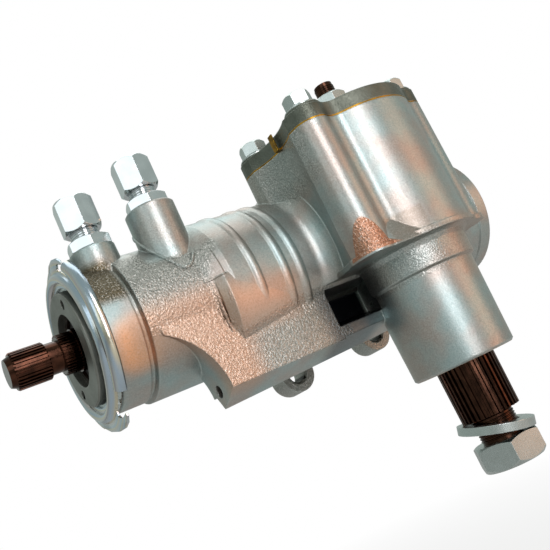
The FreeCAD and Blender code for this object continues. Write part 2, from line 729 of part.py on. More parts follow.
def mount_bosses():
    """Three bosses on the frame side, each tied to the tube by a tapered web."""
    bosses = []
    for x, z in MOUNT_HOLES:
        boss = rod_y(MOUNT_FRONT_Y, MOUNT_FACE_Y, MOUNT_BOSS_RADIUS, x, z)
        inward = -1.0 if z > 0 else 1.0
        root_z = z + inward * MOUNT_WEB_LENGTH
        half = MOUNT_BOSS_RADIUS
        web = prism(
            [
                Vector(x - half, MOUNT_FRONT_Y, z),
                Vector(x + half, MOUNT_FRONT_Y, z),
                Vector(x + half + MOUNT_WEB_SPREAD, MOUNT_FRONT_Y, root_z),
                Vector(x - half - MOUNT_WEB_SPREAD, MOUNT_FRONT_Y, root_z),
            ],
            Vector(0, MOUNT_FACE_Y - MOUNT_FRONT_Y, 0),
        )
        stem = prism(
            [
                Vector(x - half + MOUNT_STEM_INSET, MOUNT_FRONT_Y, z + inward * MOUNT_STEM_NEAR),
                Vector(x - half + MOUNT_STEM_INSET, 0.0, z + inward * MOUNT_STEM_FAR),
                Vector(x - half + MOUNT_STEM_INSET, 0.0, root_z),
                Vector(x - half + MOUNT_STEM_INSET, MOUNT_FRONT_Y, root_z),
            ],
            Vector(2.0 * (half - MOUNT_STEM_INSET), 0, 0),
        )
        bosses.append(boss.fuse([web, stem]))
    return bosses[0].fuse(bosses[1:])


def housing_cavities():
    """Everything that is bored, tapped or cored out of the casting."""
    bracket_end = RAIL_LEFT_X + BRACKET_HOLE_DEPTH
    bolt_bottom = CHAMBER_TOP_Z - BOLT_DEPTH - BOLT_HOLE_SPARE
    cuts = [
        rod_x(PISTON_BORE_START_X, END_X + 1.0, PISTON_BORE_RADIUS),
        rod_x(SHOULDER_X - 1.0, PISTON_BORE_START_X + 1.0, SHOULDER_BORE_RADIUS),
        rod_x(PLUG_SEAT_X - 1.0, SHOULDER_X, VALVE_BORE_RADIUS),
        rod_x(NOSE_X - 1.0, PLUG_SEAT_X, PLUG_THREAD_RADIUS + FACE_GAP),
        rod_z(CHAMBER_FLOOR_Z, CHAMBER_TOP_Z + 1.0, CHAMBER_BORE_RADIUS),
        rod_z(NEEDLE_TOP_Z, CHAMBER_FLOOR_Z + 1.0, JOURNAL_RADIUS + 0.6),
        rod_z(BOSS_END_Z - 1.0, NEEDLE_TOP_Z, SECTOR_BORE_RADIUS),
        rod_x(RAIL_LEFT_X - 1.0, bracket_end, BRACKET_HOLE_RADIUS, BRACKET_HOLE_Y, BRACKET_HOLE_Z),
        ring_groove_x(END_RING_X, PISTON_BORE_RADIUS, END_RING_RADIUS),
    ]
    for x, y in BOLT_POSITIONS:
        cuts.append(rod_z(bolt_bottom, CHAMBER_TOP_Z + 1.0, BOLT_RADIUS + RUNNING, x, y))
    for x, y, _, top in (PRESSURE_PORT, RETURN_PORT):
        cuts.append(rod_z(top - PORT_DEPTH, top + 1.0, PORT_BORE_RADIUS, x, y))
        cuts.append(rod_z(PORT_PASSAGE_END_Z, top - PORT_DEPTH + 1.0, PORT_PASSAGE_RADIUS, x, y))
    for x, z in MOUNT_HOLES:
        cuts.append(rod_y(MOUNT_FRONT_Y - 1.0, MOUNT_FACE_Y + 1.0, MOUNT_HOLE_RADIUS, x, z))
        cuts.append(mount_sink(x, z))
    cuts.append(rail_pocket())
    return cuts


def mount_sink(x, z):
    """Countersink at the inner mouth of a frame bolt hole."""
    depth = MOUNT_SINK_RADIUS - MOUNT_HOLE_RADIUS
    mouth = Vector(x, MOUNT_FRONT_Y, z)
    return Part.makeCone(MOUNT_SINK_RADIUS, MOUNT_HOLE_RADIUS, depth, mouth, Vector(0, 1, 0))


def rail_pocket():
    """Pocket above the rail, between the web and the pitman boss."""
    top = CHAMBER_BOTTOM_Z - POCKET_ROOF
    low = RAIL_FRONT_Z + RAIL_HEIGHT
    section = [
        Vector(WEB_RIGHT_X + POCKET_SLOPE, POCKET_BACK_Y, top),
        Vector(WEB_RIGHT_X, WEB_FRONT_Y - 2.0, top + POCKET_SLOPE),
        Vector(WEB_RIGHT_X, WEB_FRONT_Y - 2.0, low),
        Vector(WEB_RIGHT_X + POCKET_SLOPE, POCKET_BACK_Y, low + 2.0 * POCKET_SLOPE),
    ]
    return prism(section, Vector(-BOSS_ROOT_RADIUS - WEB_RIGHT_X + POCKET_ROOF, 0, 0))


def ring_groove_x(x, radius, wire_radius):
    """Round groove for a wire ring or O-ring on the worm axis."""
    return Part.makeTorus(radius, wire_radius, Vector(x, 0, 0), Vector(1, 0, 0))


def gear_housing():
    """Cast housing with every bore."""
    casting = worm_tube().fuse(
        [
            side_web(),
            lower_rail(),
            rail_core(),
            tube_swell(),
            sector_chamber(),
            port_bosses(),
            mount_bosses(),
        ]
    )
    return casting.cut(housing_cavities()).removeSplitter()


def side_cover():
    """Side cover with bolt pads, dome, adjuster neck and the hub of the upper bushing."""
    plate = lobed_outline(GASKET_TOP_Z, COVER_TOP_Z)
    pads = [rod_z(COVER_TOP_Z, COVER_SEAT_Z, BOLT_FLANGE_RADIUS + 0.6, x, y) for x, y in BOLT_POSITIONS]
    dome = turned_z(
        [
            (0.0, COVER_TOP_Z - 1.0),
            (COVER_DOME_RADIUS + 3.0, COVER_TOP_Z - 1.0),
            (COVER_DOME_RADIUS + 3.0, COVER_TOP_Z),
            (COVER_DOME_RADIUS, COVER_TOP_Z + COVER_DOME_HEIGHT),
            (COVER_NECK_RADIUS + 3.0, COVER_TOP_Z + COVER_DOME_HEIGHT + 1.0),
            (COVER_NECK_RADIUS, COVER_NECK_Z - 1.0),
            (COVER_NECK_RADIUS - 1.0, COVER_NECK_Z),
            (0.0, COVER_NECK_Z),
        ]
    )
    hub = rod_z(GASKET_TOP_Z - COVER_HUB_DEPTH, GASKET_TOP_Z, COVER_HUB_RADIUS)
    body = plate.fuse(pads + [dome, hub])
    cuts = [
        rod_z(GASKET_TOP_Z - COVER_HUB_DEPTH - 1.0, SECTOR_TOP_Z + 4.0, JOURNAL_RADIUS + BUSHING_WALL),
        rod_z(SECTOR_TOP_Z, COVER_NECK_Z + 1.0, ADJUSTER_RADIUS + RUNNING),
    ]
    for x, y in BOLT_POSITIONS:
        cuts.append(rod_z(GASKET_TOP_Z - 1.0, COVER_SEAT_Z + 1.0, BOLT_RADIUS + 0.4, x, y))
    return body.cut(cuts).removeSplitter()


def side_cover_gasket():
    """Sheet gasket with a bent-up locating tab."""
    sheet = lobed_outline(CHAMBER_TOP_Z, GASKET_TOP_Z)
    cuts = [rod_z(CHAMBER_TOP_Z - 1.0, GASKET_TOP_Z + 1.0, CHAMBER_BORE_RADIUS + 1.0)]
    for x, y in BOLT_POSITIONS:
        cuts.append(rod_z(CHAMBER_TOP_Z - 1.0, GASKET_TOP_Z + 1.0, BOLT_RADIUS + 0.4, x, y))
    wall_x = waist_x()
    tab_y = BOLT_POSITIONS[0][1] - TAB_DISTANCE
    low_y = tab_y - TAB_HALF_WIDTH
    high_y = tab_y + TAB_HALF_WIDTH
    outer_x = wall_x - TAB_REACH
    foot = block(outer_x, wall_x + TAB_REACH, low_y, high_y, CHAMBER_TOP_Z, GASKET_TOP_Z)
    tab_x = outer_x + GASKET_THICKNESS
    upright = block(outer_x, tab_x, low_y, high_y, CHAMBER_TOP_Z, GASKET_TOP_Z + TAB_HEIGHT)
    return sheet.cut(cuts).fuse([foot, upright]).removeSplitter()


def cover_bolts():
    """Four flanged hexagon bolts."""
    bolts = []
    for index, (x, y) in enumerate(BOLT_POSITIONS):
        seat = COVER_SEAT_Z
        flange = turned_z(
            [
                (0.0, seat),
                (BOLT_FLANGE_RADIUS, seat),
                (BOLT_FLANGE_RADIUS, seat + 0.9),
                (BOLT_FLANGE_RADIUS - 2.0, seat + BOLT_FLANGE_HEIGHT),
                (0.0, seat + BOLT_FLANGE_HEIGHT),
            ],
            x,
            y,
        )
        top = seat + BOLT_FLANGE_HEIGHT + BOLT_HEX_HEIGHT
        turn = BOLT_TURN + BOLT_TURN_STEP * index
        head = chamfered_hexagon(seat + 1.0, top, BOLT_HEX, x, y, turn, 0.0, 1.6)
        shank = rod_z(CHAMBER_TOP_Z - BOLT_DEPTH, seat + 1.0, BOLT_RADIUS, x, y)
        bolts.append(flange.fuse([head, shank]).removeSplitter())
    return Part.makeCompound(bolts)


def involute(angle):
    """Involute function."""
    return math.tan(angle) - angle


def sector_tooth(centre_angle):
    """One involute tooth of the sector, from inside the hub to the tip circle."""
    base_radius = PITCH_RADIUS * math.cos(PRESSURE_ANGLE)
    half_at_pitch = (TOOTH_PITCH / 2.0 - TOOTH_BACKLASH) / (2.0 * PITCH_RADIUS)
    steps = FLANK_STEPS
    flank = []
    for index in range(steps + 1):
        radius = base_radius + 0.02 + (SECTOR_TIP_RADIUS - base_radius - 0.02) * index / steps
        pressure = math.acos(base_radius / radius)
        half = half_at_pitch + involute(PRESSURE_ANGLE) - involute(pressure)
        flank.append((radius, half))
    root = (SECTOR_ROOT_RADIUS - 3.0, flank[0][1])

    def place(radius, half, side):
        angle = centre_angle + side * half
        return Vector(radius * math.sin(angle), radius * math.cos(angle), -SECTOR_FACE_WIDTH / 2.0)

    left = [place(radius, half, -1) for radius, half in flank]
    right = [place(radius, half, 1) for radius, half in reversed(flank)]
    left_curve = Part.BSplineCurve()
    left_curve.interpolate(left)
    right_curve = Part.BSplineCurve()
    right_curve.interpolate(right)
    tip = Part.Arc(left[-1], place(SECTOR_TIP_RADIUS, 0.0, 1), right[0]).toShape()
    root_left = place(root[0], root[1], -1)
    root_right = place(root[0], root[1], 1)
    edges = [
        Part.makeLine(root_left, left[0]),
        left_curve.toShape(),
        tip,
        right_curve.toShape(),
        Part.makeLine(right[-1], root_right),
        Part.makeLine(root_right, root_left),
    ]
    tooth = Part.Face(Part.Wire(edges)).extrude(Vector(0, 0, SECTOR_FACE_WIDTH))
    tooth.translate(Vector(0, -SECTOR_OFFSET, 0))
    return tooth


def sector_shaft():
    """Sector shaft: three-tooth sector, journals, tapered splines and pitman thread."""
    half_face = SECTOR_FACE_WIDTH / 2.0
    core = turned_z(
        [
            (0.0, PITMAN_THREAD_END_Z),
            (PITMAN_THREAD_RADIUS - 1.5, PITMAN_THREAD_END_Z),
            (PITMAN_THREAD_RADIUS, PITMAN_THREAD_END_Z + 1.5),
            (PITMAN_THREAD_RADIUS, SPLINE_END_Z - 1.0),
            (PITMAN_THREAD_RADIUS - 0.8, SPLINE_END_Z),
            (SPLINE_END_RADIUS - SPLINE_DEPTH - 0.2, SPLINE_END_Z),
            (SPLINE_TOP_RADIUS - SPLINE_DEPTH - 0.2, SPLINE_TOP_Z),
            (SPLINE_TOP_RADIUS, SPLINE_TOP_Z + 3.0),
            (JOURNAL_RADIUS, SPLINE_TOP_Z + 4.5),
            (JOURNAL_RADIUS, -half_face),
            (SECTOR_ROOT_RADIUS, -half_face),
            (SECTOR_ROOT_RADIUS, half_face),
            (JOURNAL_RADIUS, half_face),
            (JOURNAL_RADIUS, SECTOR_TOP_Z - 1.0),
            (JOURNAL_RADIUS - 1.0, SECTOR_TOP_Z),
            (0.0, SECTOR_TOP_Z),
        ]
    )
    teeth = [sector_tooth(index * 2.0 * math.pi / VIRTUAL_TEETH) for index in (-1, 0, 1)]
    splines = Part.makeLoft(
        [
            splined_wire(
                Vector(0, -SECTOR_OFFSET, SPLINE_END_Z),
                Vector(1, 0, 0),
                Vector(0, 1, 0),
                SPLINE_END_RADIUS,
                SPLINE_END_RADIUS - SPLINE_DEPTH,
                SPLINE_TEETH,
            ),
            splined_wire(
                Vector(0, -SECTOR_OFFSET, SPLINE_TOP_Z + 1.5),
                Vector(1, 0, 0),
                Vector(0, 1, 0),
                SPLINE_TOP_RADIUS,
                SPLINE_TOP_RADIUS - SPLINE_DEPTH,
                SPLINE_TEETH,
            ),
        ],
        True,
        True,
    )
    pocket_floor = SECTOR_TOP_Z - ADJUSTER_HEAD_DEPTH - 0.5
    head_pocket = rod_z(pocket_floor, SECTOR_TOP_Z + 1.0, ADJUSTER_HEAD_RADIUS + LOOSE)
    return core.fuse(teeth + [splines]).cut(head_pocket).removeSplitter()


def pitman_nut():
    """Hexagon nut on the end of the sector shaft."""
    low = NUT_TOP_Z - NUT_HEIGHT
    blank = chamfered_hexagon(low, NUT_TOP_Z, NUT_HEX, 0.0, -SECTOR_OFFSET, NUT_TURN, 2.8, 1.6)
    return blank.cut(rod_z(low - 1.0, NUT_TOP_Z + 1.0, PITMAN_THREAD_RADIUS + RUNNING))


def pitman_washer():
    """Thick lock washer, hanging askew on the thread above the nut."""
    low = WASHER_TOP_Z - WASHER_THICKNESS
    washer = rod_z(low, WASHER_TOP_Z, WASHER_RADIUS)
    bore = rod_z(low - 1.0, WASHER_TOP_Z + 1.0, WASHER_BORE_RADIUS)
    ring = washer.cut(bore)
    hinge = Vector(-math.sin(WASHER_LOW_SIDE), math.cos(WASHER_LOW_SIDE), 0)
    ring.rotate(Vector(0, -SECTOR_OFFSET, WASHER_TOP_Z), hinge, WASHER_TILT)
    return ring


def lash_adjuster_screw():
    """Adjusting screw whose head turns in the top of the sector shaft."""
    head_low = SECTOR_TOP_Z - ADJUSTER_HEAD_DEPTH
    head = rod_z(head_low, head_low + ADJUSTER_HEAD_HEIGHT, ADJUSTER_HEAD_RADIUS)
    stem = rod_z(head_low, ADJUSTER_TOP_Z, ADJUSTER_RADIUS)
    floor = ADJUSTER_TOP_Z - ADJUSTER_SOCKET
    socket = hexagon_z(floor, ADJUSTER_TOP_Z + 1.0, ADJUSTER_SOCKET, 0.0, -SECTOR_OFFSET)
    return head.fuse(stem).cut(socket)


def lash_adjuster_locknut():
    """Locknut of the adjusting screw."""
    top = COVER_NECK_Z + LOCKNUT_HEIGHT
    blank = chamfered_hexagon(COVER_NECK_Z, top, LOCKNUT_HEX, 0.0, -SECTOR_OFFSET, LOCKNUT_TURN, 0.0, 1.5)
    return blank.cut(rod_z(COVER_NECK_Z - 1.0, top + 1.0, ADJUSTER_RADIUS + RUNNING))


def sleeve_z(start, end, inner, outer):
    """Plain sleeve on the sector axis."""
    return rod_z(start, end, outer).cut(rod_z(start - 1.0, end + 1.0, inner))


def sleeve_x(start, end, inner, outer):
    """Plain sleeve on the worm axis."""
    return rod_x(start, end, outer).cut(rod_x(start - 1.0, end + 1.0, inner))


def sector_upper_bushing():
    """Bushing in the hub of the side cover."""
    start = GASKET_TOP_Z - COVER_HUB_DEPTH
    return sleeve_z(start, SECTOR_TOP_Z, JOURNAL_RADIUS + RUNNING, JOURNAL_RADIUS + BUSHING_WALL)


def sector_needle_bearing():
    """Drawn-cup needle bearing in the pitman boss."""
    return sleeve_z(NEEDLE_BOTTOM_Z, NEEDLE_TOP_Z, JOURNAL_RADIUS + RUNNING, SECTOR_BORE_RADIUS)


def lip_seal_z(top):
    """Seal with a U-shaped section, open towards the oil."""
    inner = JOURNAL_RADIUS + RUNNING
    outer = SECTOR_BORE_RADIUS
    low = top - SEAL_HEIGHT
    return turned_z(
        [
            (inner, low),
            (outer, low),
            (outer, top),
            (outer - 1.0, top),
            (outer - 1.0, low + 1.6),
            (inner + 1.0, low + 1.6),
            (inner + 1.0, top - 1.0),
            (inner, top - 1.0),
        ]
    )


def sector_shaft_seals():
    """Oil seal and dust seal below the needle bearing."""
    first_top = NEEDLE_BOTTOM_Z - SEAL_GAP
    second_top = first_top - SEAL_HEIGHT - SEAL_GAP
    return Part.makeCompound([lip_seal_z(first_top), lip_seal_z(second_top)])


def sector_backup_washer():
    """Steel washer that separates the two seals."""
    top = NEEDLE_BOTTOM_Z - SEAL_GAP - SEAL_HEIGHT
    return sleeve_z(top - SEAL_GAP, top, JOURNAL_RADIUS + LOOSE, SECTOR_BORE_RADIUS)


def sector_retaining_ring():
    """Snap ring that closes the seal bore."""
    top = NEEDLE_BOTTOM_Z - 2.0 * (SEAL_GAP + SEAL_HEIGHT)
    ring = sleeve_z(top - 1.6, top, JOURNAL_RADIUS + 1.5, SECTOR_BORE_RADIUS)
    gap = block(-2.5, 2.5, -SECTOR_OFFSET - 30.0, -SECTOR_OFFSET, top - 3.0, top + 1.0)
    return ring.cut(gap)


def input_shaft():
    """Stub shaft: coupling splines, neck, knurled collar, journal and core."""
    core = turned_x(
        [
            (INPUT_TIP_X, 0.0),
            (INPUT_TIP_X, INPUT_SPLINE_RADIUS - 2.4),
            (INPUT_TIP_X + 3.4, INPUT_SPLINE_RADIUS - INPUT_SPLINE_DEPTH - 0.1),
            (INPUT_SPLINE_END_X, INPUT_SPLINE_RADIUS - INPUT_SPLINE_DEPTH - 0.1),
            (INPUT_SPLINE_END_X, INPUT_NECK_RADIUS),
            (INPUT_NECK_END_X, INPUT_NECK_RADIUS),
            (INPUT_NECK_END_X, INPUT_COLLAR_RADIUS - INPUT_COLLAR_DEPTH - 0.1),
            (INPUT_COLLAR_END_X, INPUT_COLLAR_RADIUS - INPUT_COLLAR_DEPTH - 0.1),
            (INPUT_COLLAR_END_X, INPUT_JOURNAL_RADIUS),
            (VALVE_START_X - 1.0, INPUT_JOURNAL_RADIUS),
            (VALVE_START_X - 1.0, INPUT_CORE_RADIUS),
            (VALVE_END_X - 2.0, INPUT_CORE_RADIUS),
            (VALVE_END_X - 2.0, 0.0),
        ]
    )
    splines = spline_x(
        INPUT_TIP_X + 2.6,
        INPUT_SPLINE_END_X,
        INPUT_SPLINE_RADIUS + 0.1,
        INPUT_SPLINE_DEPTH,
        INPUT_SPLINE_TEETH,
    )
    lead_in = turned_x(
        [
            (INPUT_TIP_X, 0.0),
            (INPUT_TIP_X, INPUT_SPLINE_RADIUS - 2.4),
            (INPUT_TIP_X + 3.4, INPUT_SPLINE_RADIUS),
            (INPUT_SPLINE_END_X - 0.6, INPUT_SPLINE_RADIUS),
            (INPUT_SPLINE_END_X, INPUT_SPLINE_RADIUS - 0.6),
            (INPUT_SPLINE_END_X, 0.0),
        ]
    )
    collar = spline_x(
        INPUT_NECK_END_X,
        INPUT_COLLAR_END_X,
        INPUT_COLLAR_RADIUS,
        INPUT_COLLAR_DEPTH,
        INPUT_COLLAR_TEETH,
    )
    bore = rod_x(INPUT_COLLAR_END_X, VALVE_END_X, TORSION_BAR_END_RADIUS)
    return core.fuse([splines.common(lead_in), collar]).cut(bore).removeSplitter()


def spline_x(start, end, tip_radius, depth, teeth):
    """Straight serrations on the worm axis."""
    origin = Vector(start, 0, 0)
    root_radius = tip_radius - depth
    wire = splined_wire(origin, Vector(0, 1, 0), Vector(0, 0, 1), tip_radius, root_radius, teeth)
    return Part.Face(wire).extrude(Vector(end - start, 0, 0))


def torsion_bar():
    """Torsion bar, thinned between its pinned end and its free end."""
    worm_head_x = VALVE_END_X + TORSION_BAR_GRIP
    return turned_x(
        [
            (INPUT_COLLAR_END_X, 0.0),
            (INPUT_COLLAR_END_X, TORSION_BAR_END_RADIUS),
            (INPUT_COLLAR_END_X + TORSION_BAR_GRIP - 4.0, TORSION_BAR_END_RADIUS),
            (INPUT_COLLAR_END_X + TORSION_BAR_GRIP, TORSION_BAR_RADIUS),
            (worm_head_x - TORSION_BAR_GRIP + 4.0, TORSION_BAR_RADIUS),
            (worm_head_x - TORSION_BAR_GRIP + 6.0, TORSION_BAR_END_RADIUS - RUNNING),
            (worm_head_x, TORSION_BAR_END_RADIUS - RUNNING),
            (worm_head_x, 0.0),
        ]
    )


def spool_valve():
    """Spool sleeve on the stub shaft, with its metering flats."""
    start = VALVE_START_X - 1.0 + FACE_GAP
    sleeve = sleeve_x(start, VALVE_END_X - 3.0, INPUT_CORE_RADIUS, SPOOL_RADIUS)
    slots = []
    for index in range(SPOOL_SLOTS):
        angle = 2.0 * math.pi * index / SPOOL_SLOTS
        y = (SPOOL_RADIUS + 0.6) * math.cos(angle)
        z = (SPOOL_RADIUS + 0.6) * math.sin(angle)
        slot_start = VALVE_START_X + SPOOL_SLOT_INSET
        slots.append(rod_x(slot_start, VALVE_END_X - SPOOL_SLOT_INSET, OIL_HOLE_RADIUS, y, z))
    return sleeve.cut(slots)


def valve_body():
    """Valve body with ring grooves and drilled oil passages."""
    sleeve = sleeve_x(VALVE_START_X, VALVE_END_X, SPOOL_RADIUS + RUNNING, VALVE_BODY_RADIUS)
    groove_radius = VALVE_BODY_RADIUS - VALVE_RING_DEPTH
    cuts = []
    for centre in valve_ring_centres():
        cuts.append(valve_ring_band(centre, groove_radius, VALVE_BODY_RADIUS + 1.0))
    for index in range(4):
        angle = math.radians(45.0 + 90.0 * index)
        direction = Vector(0, math.cos(angle), math.sin(angle))
        for centre in valve_land_centres():
            hole_start = Vector(centre, 0, 0)
            length = VALVE_BODY_RADIUS + 2.0
            cuts.append(Part.makeCylinder(OIL_HOLE_RADIUS, length, hole_start, direction))
    return sleeve.cut(cuts)


def valve_ring_centres():
    """Places of the four sealing rings along the valve body."""
    span = VALVE_END_X - VALVE_START_X
    step = span * VALVE_RING_SPACING
    first = VALVE_START_X + (span - 3.0 * step) / 2.0
    return [first + step * index for index in range(4)]


def valve_land_centres():
    """Places of the three oil lands between the rings."""
    centres = valve_ring_centres()
    return [(centres[index] + centres[index + 1]) / 2.0 for index in range(3)]


def valve_ring_band(centre, inner, outer):
    """Ring of rectangular section on the valve body."""
    half = VALVE_RING_WIDTH / 2.0
    return sleeve_x(centre - half, centre + half, inner, outer)


def valve_rings():
    """Four sealing rings of the valve body."""
    groove_radius = VALVE_BODY_RADIUS - VALVE_RING_DEPTH
    rings = []
    for centre in valve_ring_centres():
        rings.append(valve_ring_band(centre, groove_radius, VALVE_RING_RADIUS))
    return Part.makeCompound(rings)


def worm_shaft():
    """Worm with its thrust flange and helical ball track."""
    blank = turned_x(
        [
            (VALVE_END_X + 0.1, 0.0),
            (VALVE_END_X + 0.1, VALVE_BODY_RADIUS - 0.5),
            (SHOULDER_X - THRUST_BEARING_WIDTH - FACE_GAP, VALVE_BODY_RADIUS - 0.5),
            (SHOULDER_X - THRUST_BEARING_WIDTH - FACE_GAP, WORM_RADIUS),
            (WORM_THREAD_END + 2.0, WORM_RADIUS),
            (WORM_THREAD_END + 3.5, WORM_RADIUS - 1.5),
            (WORM_THREAD_END + 3.5, 0.0),
        ]
    )
    socket_end = VALVE_END_X + TORSION_BAR_GRIP + 0.5
    bar_socket = rod_x(VALVE_END_X - 1.0, socket_end, TORSION_BAR_END_RADIUS)
    track = ball_track(WORM_THREAD_START, WORM_THREAD_END, BALL_RADIUS + BALL_TRACK_CLEARANCE)
    return blank.cut([bar_socket, track])


def thrust_bearing(start):
    """Thrust bearing seen as two races and the roller cage between them."""
    inner = WORM_RADIUS + 1.2
    outer = VALVE_BODY_RADIUS - 0.6
    race = (THRUST_BEARING_WIDTH - THRUST_CAGE_WIDTH) / 2.0
    cage_end = start + race + THRUST_CAGE_WIDTH
    return Part.makeCompound(
        [
            sleeve_x(start, start + race, inner, outer),
            sleeve_x(start + race, cage_end, inner + 1.0, outer - 1.0),
            sleeve_x(cage_end, start + THRUST_BEARING_WIDTH, inner, outer),
        ]
    )


def worm_thrust_bearing():
    """Lower thrust bearing between worm flange and housing shoulder."""
    return thrust_bearing(SHOULDER_X - THRUST_BEARING_WIDTH)


def upper_thrust_bearing():
    """Upper thrust bearing between adjuster plug and valve body."""
    return thrust_bearing(VALVE_START_X - FACE_GAP - THRUST_BEARING_WIDTH)


def adjuster_plug():
    """Threaded adjuster plug with its recess, seal bore, bearing bore and spanner holes."""
    nose_x = VALVE_START_X - FACE_GAP - THRUST_BEARING_WIDTH
    blank = turned_x(
        [
            (PLUG_FACE_X, 0.0),
            (PLUG_FACE_X, PLUG_RADIUS - 0.8),
            (PLUG_FACE_X + 0.8, PLUG_RADIUS),
            (NOSE_X, PLUG_RADIUS),
            (NOSE_X, PLUG_THREAD_RADIUS),
            (PLUG_SEAT_X - 0.3, PLUG_THREAD_RADIUS),
            (PLUG_SEAT_X - 0.3, VALVE_BORE_RADIUS - 0.2),
            (nose_x, VALVE_BORE_RADIUS - 0.2),
            (nose_x, 0.0),
        ]
    )
    cuts = [
        rod_x(PLUG_FACE_X - 1.0, PLUG_RECESS_FLOOR_X, PLUG_RECESS_RADIUS),
        rod_x(PLUG_RECESS_FLOOR_X - 1.0, SEAL_END_X, SEAL_BORE_RADIUS),
        rod_x(SEAL_END_X - 1.0, nose_x + 1.0, BEARING_BORE_RADIUS),
        ring_groove_x(PLUG_ORING_X, PLUG_ORING_CIRCLE, PLUG_ORING_RADIUS + RUNNING),
    ]
    for angle in SPANNER_ANGLES:
        y = -SPANNER_CIRCLE_RADIUS * math.cos(math.radians(angle))
        z = SPANNER_CIRCLE_RADIUS * math.sin(math.radians(angle))
        hole_end = PLUG_FACE_X + SPANNER_HOLE_DEPTH
        cuts.append(rod_x(PLUG_FACE_X - 1.0, hole_end, SPANNER_HOLE_RADIUS, y, z))
    return blank.cut(cuts)


def adjuster_locknut():
    """Notched ring nut that locks the adjuster plug."""
    ring = turned_x(
        [
            (LOCKRING_FACE_X, PLUG_RADIUS + FACE_GAP),
            (LOCKRING_FACE_X, LOCKRING_OUTER_RADIUS - 1.5),
            (LOCKRING_FACE_X + 1.5, LOCKRING_OUTER_RADIUS),
            (NOSE_X, LOCKRING_OUTER_RADIUS),
            (NOSE_X, PLUG_RADIUS + FACE_GAP),
        ]
    )
    notches = []
    for index in range(LOCKRING_NOTCHES):
        angle = 2.0 * math.pi * (index + 0.5) / LOCKRING_NOTCHES
        y = LOCKRING_OUTER_RADIUS * math.cos(angle)
        z = LOCKRING_OUTER_RADIUS * math.sin(angle)
        notches.append(rod_x(LOCKRING_FACE_X - 1.0, NOSE_X + 1.0, LOCKRING_NOTCH_RADIUS, y, z))
    return ring.cut(notches)


def plug_oring():
    """O-ring between adjuster plug and valve bore."""
    return ring_groove_x(PLUG_ORING_X, PLUG_ORING_CIRCLE, PLUG_ORING_RADIUS)


def input_needle_bearing():
    """Needle bearing of the input shaft."""
    inner = INPUT_JOURNAL_RADIUS + RUNNING
    return sleeve_x(SEAL_END_X, INPUT_BEARING_END_X, inner, BEARING_BORE_RADIUS)


def input_oil_seal():
    """Lip seal in front of the needle bearing."""
    inner = INPUT_JOURNAL_RADIUS + RUNNING
    start = PLUG_RECESS_FLOOR_X
    return turned_x(
        [
            (start, inner + 1.5),
            (start, SEAL_BORE_RADIUS),
            (SEAL_END_X, SEAL_BORE_RADIUS),
            (SEAL_END_X, SEAL_BORE_RADIUS - 1.2),
            (start + 1.8, SEAL_BORE_RADIUS - 1.2),
            (start + 1.8, inner + 1.2),
            (SEAL_END_X - 0.6, inner + 1.2),
            (SEAL_END_X - 0.6, inner),
            (start + 1.2, inner),
        ]
    )


def input_dust_seal():
    """Rubber dust seal at the bottom of the recess."""
    inner = INPUT_JOURNAL_RADIUS + RUNNING
    return turned_x(
        [
            (PLUG_RECESS_FLOOR_X - 3.2, inner + 2.4),
            (PLUG_RECESS_FLOOR_X - 3.2, PLUG_RECESS_RADIUS),
            (PLUG_RECESS_FLOOR_X, PLUG_RECESS_RADIUS),
            (PLUG_RECESS_FLOOR_X, inner + 1.0),
            (PLUG_RECESS_FLOOR_X - 1.6, inner),
        ]
    )


def input_snap_ring():
    """Internal snap ring with two plier lugs."""
    start = PLUG_RECESS_FLOOR_X - SNAP_RING_OFFSET
    end = start + SNAP_RING_THICKNESS
    ring = sleeve_x(start, end, PLUG_RECESS_RADIUS - SNAP_RING_WIDTH, PLUG_RECESS_RADIUS)
    gap_y = -PLUG_RECESS_RADIUS + SNAP_LUG_SPREAD
    half_gap = SNAP_LUG_SPREAD - 2.0
    gap = block(start - 1.0, end + 1.0, -PLUG_RECESS_RADIUS - 1.0, gap_y, -half_gap, half_gap)
    lugs = []
    for side in (-SNAP_LUG_SPREAD, SNAP_LUG_SPREAD):
        lug = rod_x(start, end, SNAP_LUG_RADIUS, SNAP_LUG_Y, side)
        hole = rod_x(start - 1.0, end + 1.0, SNAP_LUG_HOLE_RADIUS, SNAP_LUG_Y, side)
        lugs.append(lug.cut(hole))
    return ring.cut(gap).fuse(lugs).removeSplitter()


def retainer_section():
    """Pressed section of the retainer as (x, radius) pairs of its outer face."""
    inner_bead, outer_bead = RETAINER_BEAD_CENTRES
    points = [(RETAINER_FACE_X + 0.8, RETAINER_INNER_RADIUS)]
    for step in range(7):
        angle = math.pi * step / 6.0
        x = RETAINER_FACE_X + 0.8 - RETAINER_BEAD_RADIUS * 0.9 * math.sin(angle)
        points.append((x, inner_bead - RETAINER_BEAD_RADIUS * math.cos(angle)))
    for step in range(8):
        angle = math.pi * (0.05 + 1.0 * step / 7.0)
        x = RETAINER_FACE_X + RETAINER_STEP - RETAINER_BEAD_RADIUS * 1.15 * math.sin(angle)
        points.append((x, outer_bead - (RETAINER_BEAD_RADIUS + 0.5) * math.cos(angle)))
    return points


def shield_retainer():
    """Pressed retainer ring with two concentric beads and two hooked ears."""
    outer = retainer_section()
    inner = []
    for index, (x, radius) in enumerate(outer):
        lip = 0.4 if index > len(outer) - 4 else 0.0
        inner.append((x + SHEET, radius - lip))
    ring = turned_x(outer + inner[::-1])
    ears = [retainer_ear(angle) for angle in EAR_ANGLES]
    return ring.fuse(ears).removeSplitter()


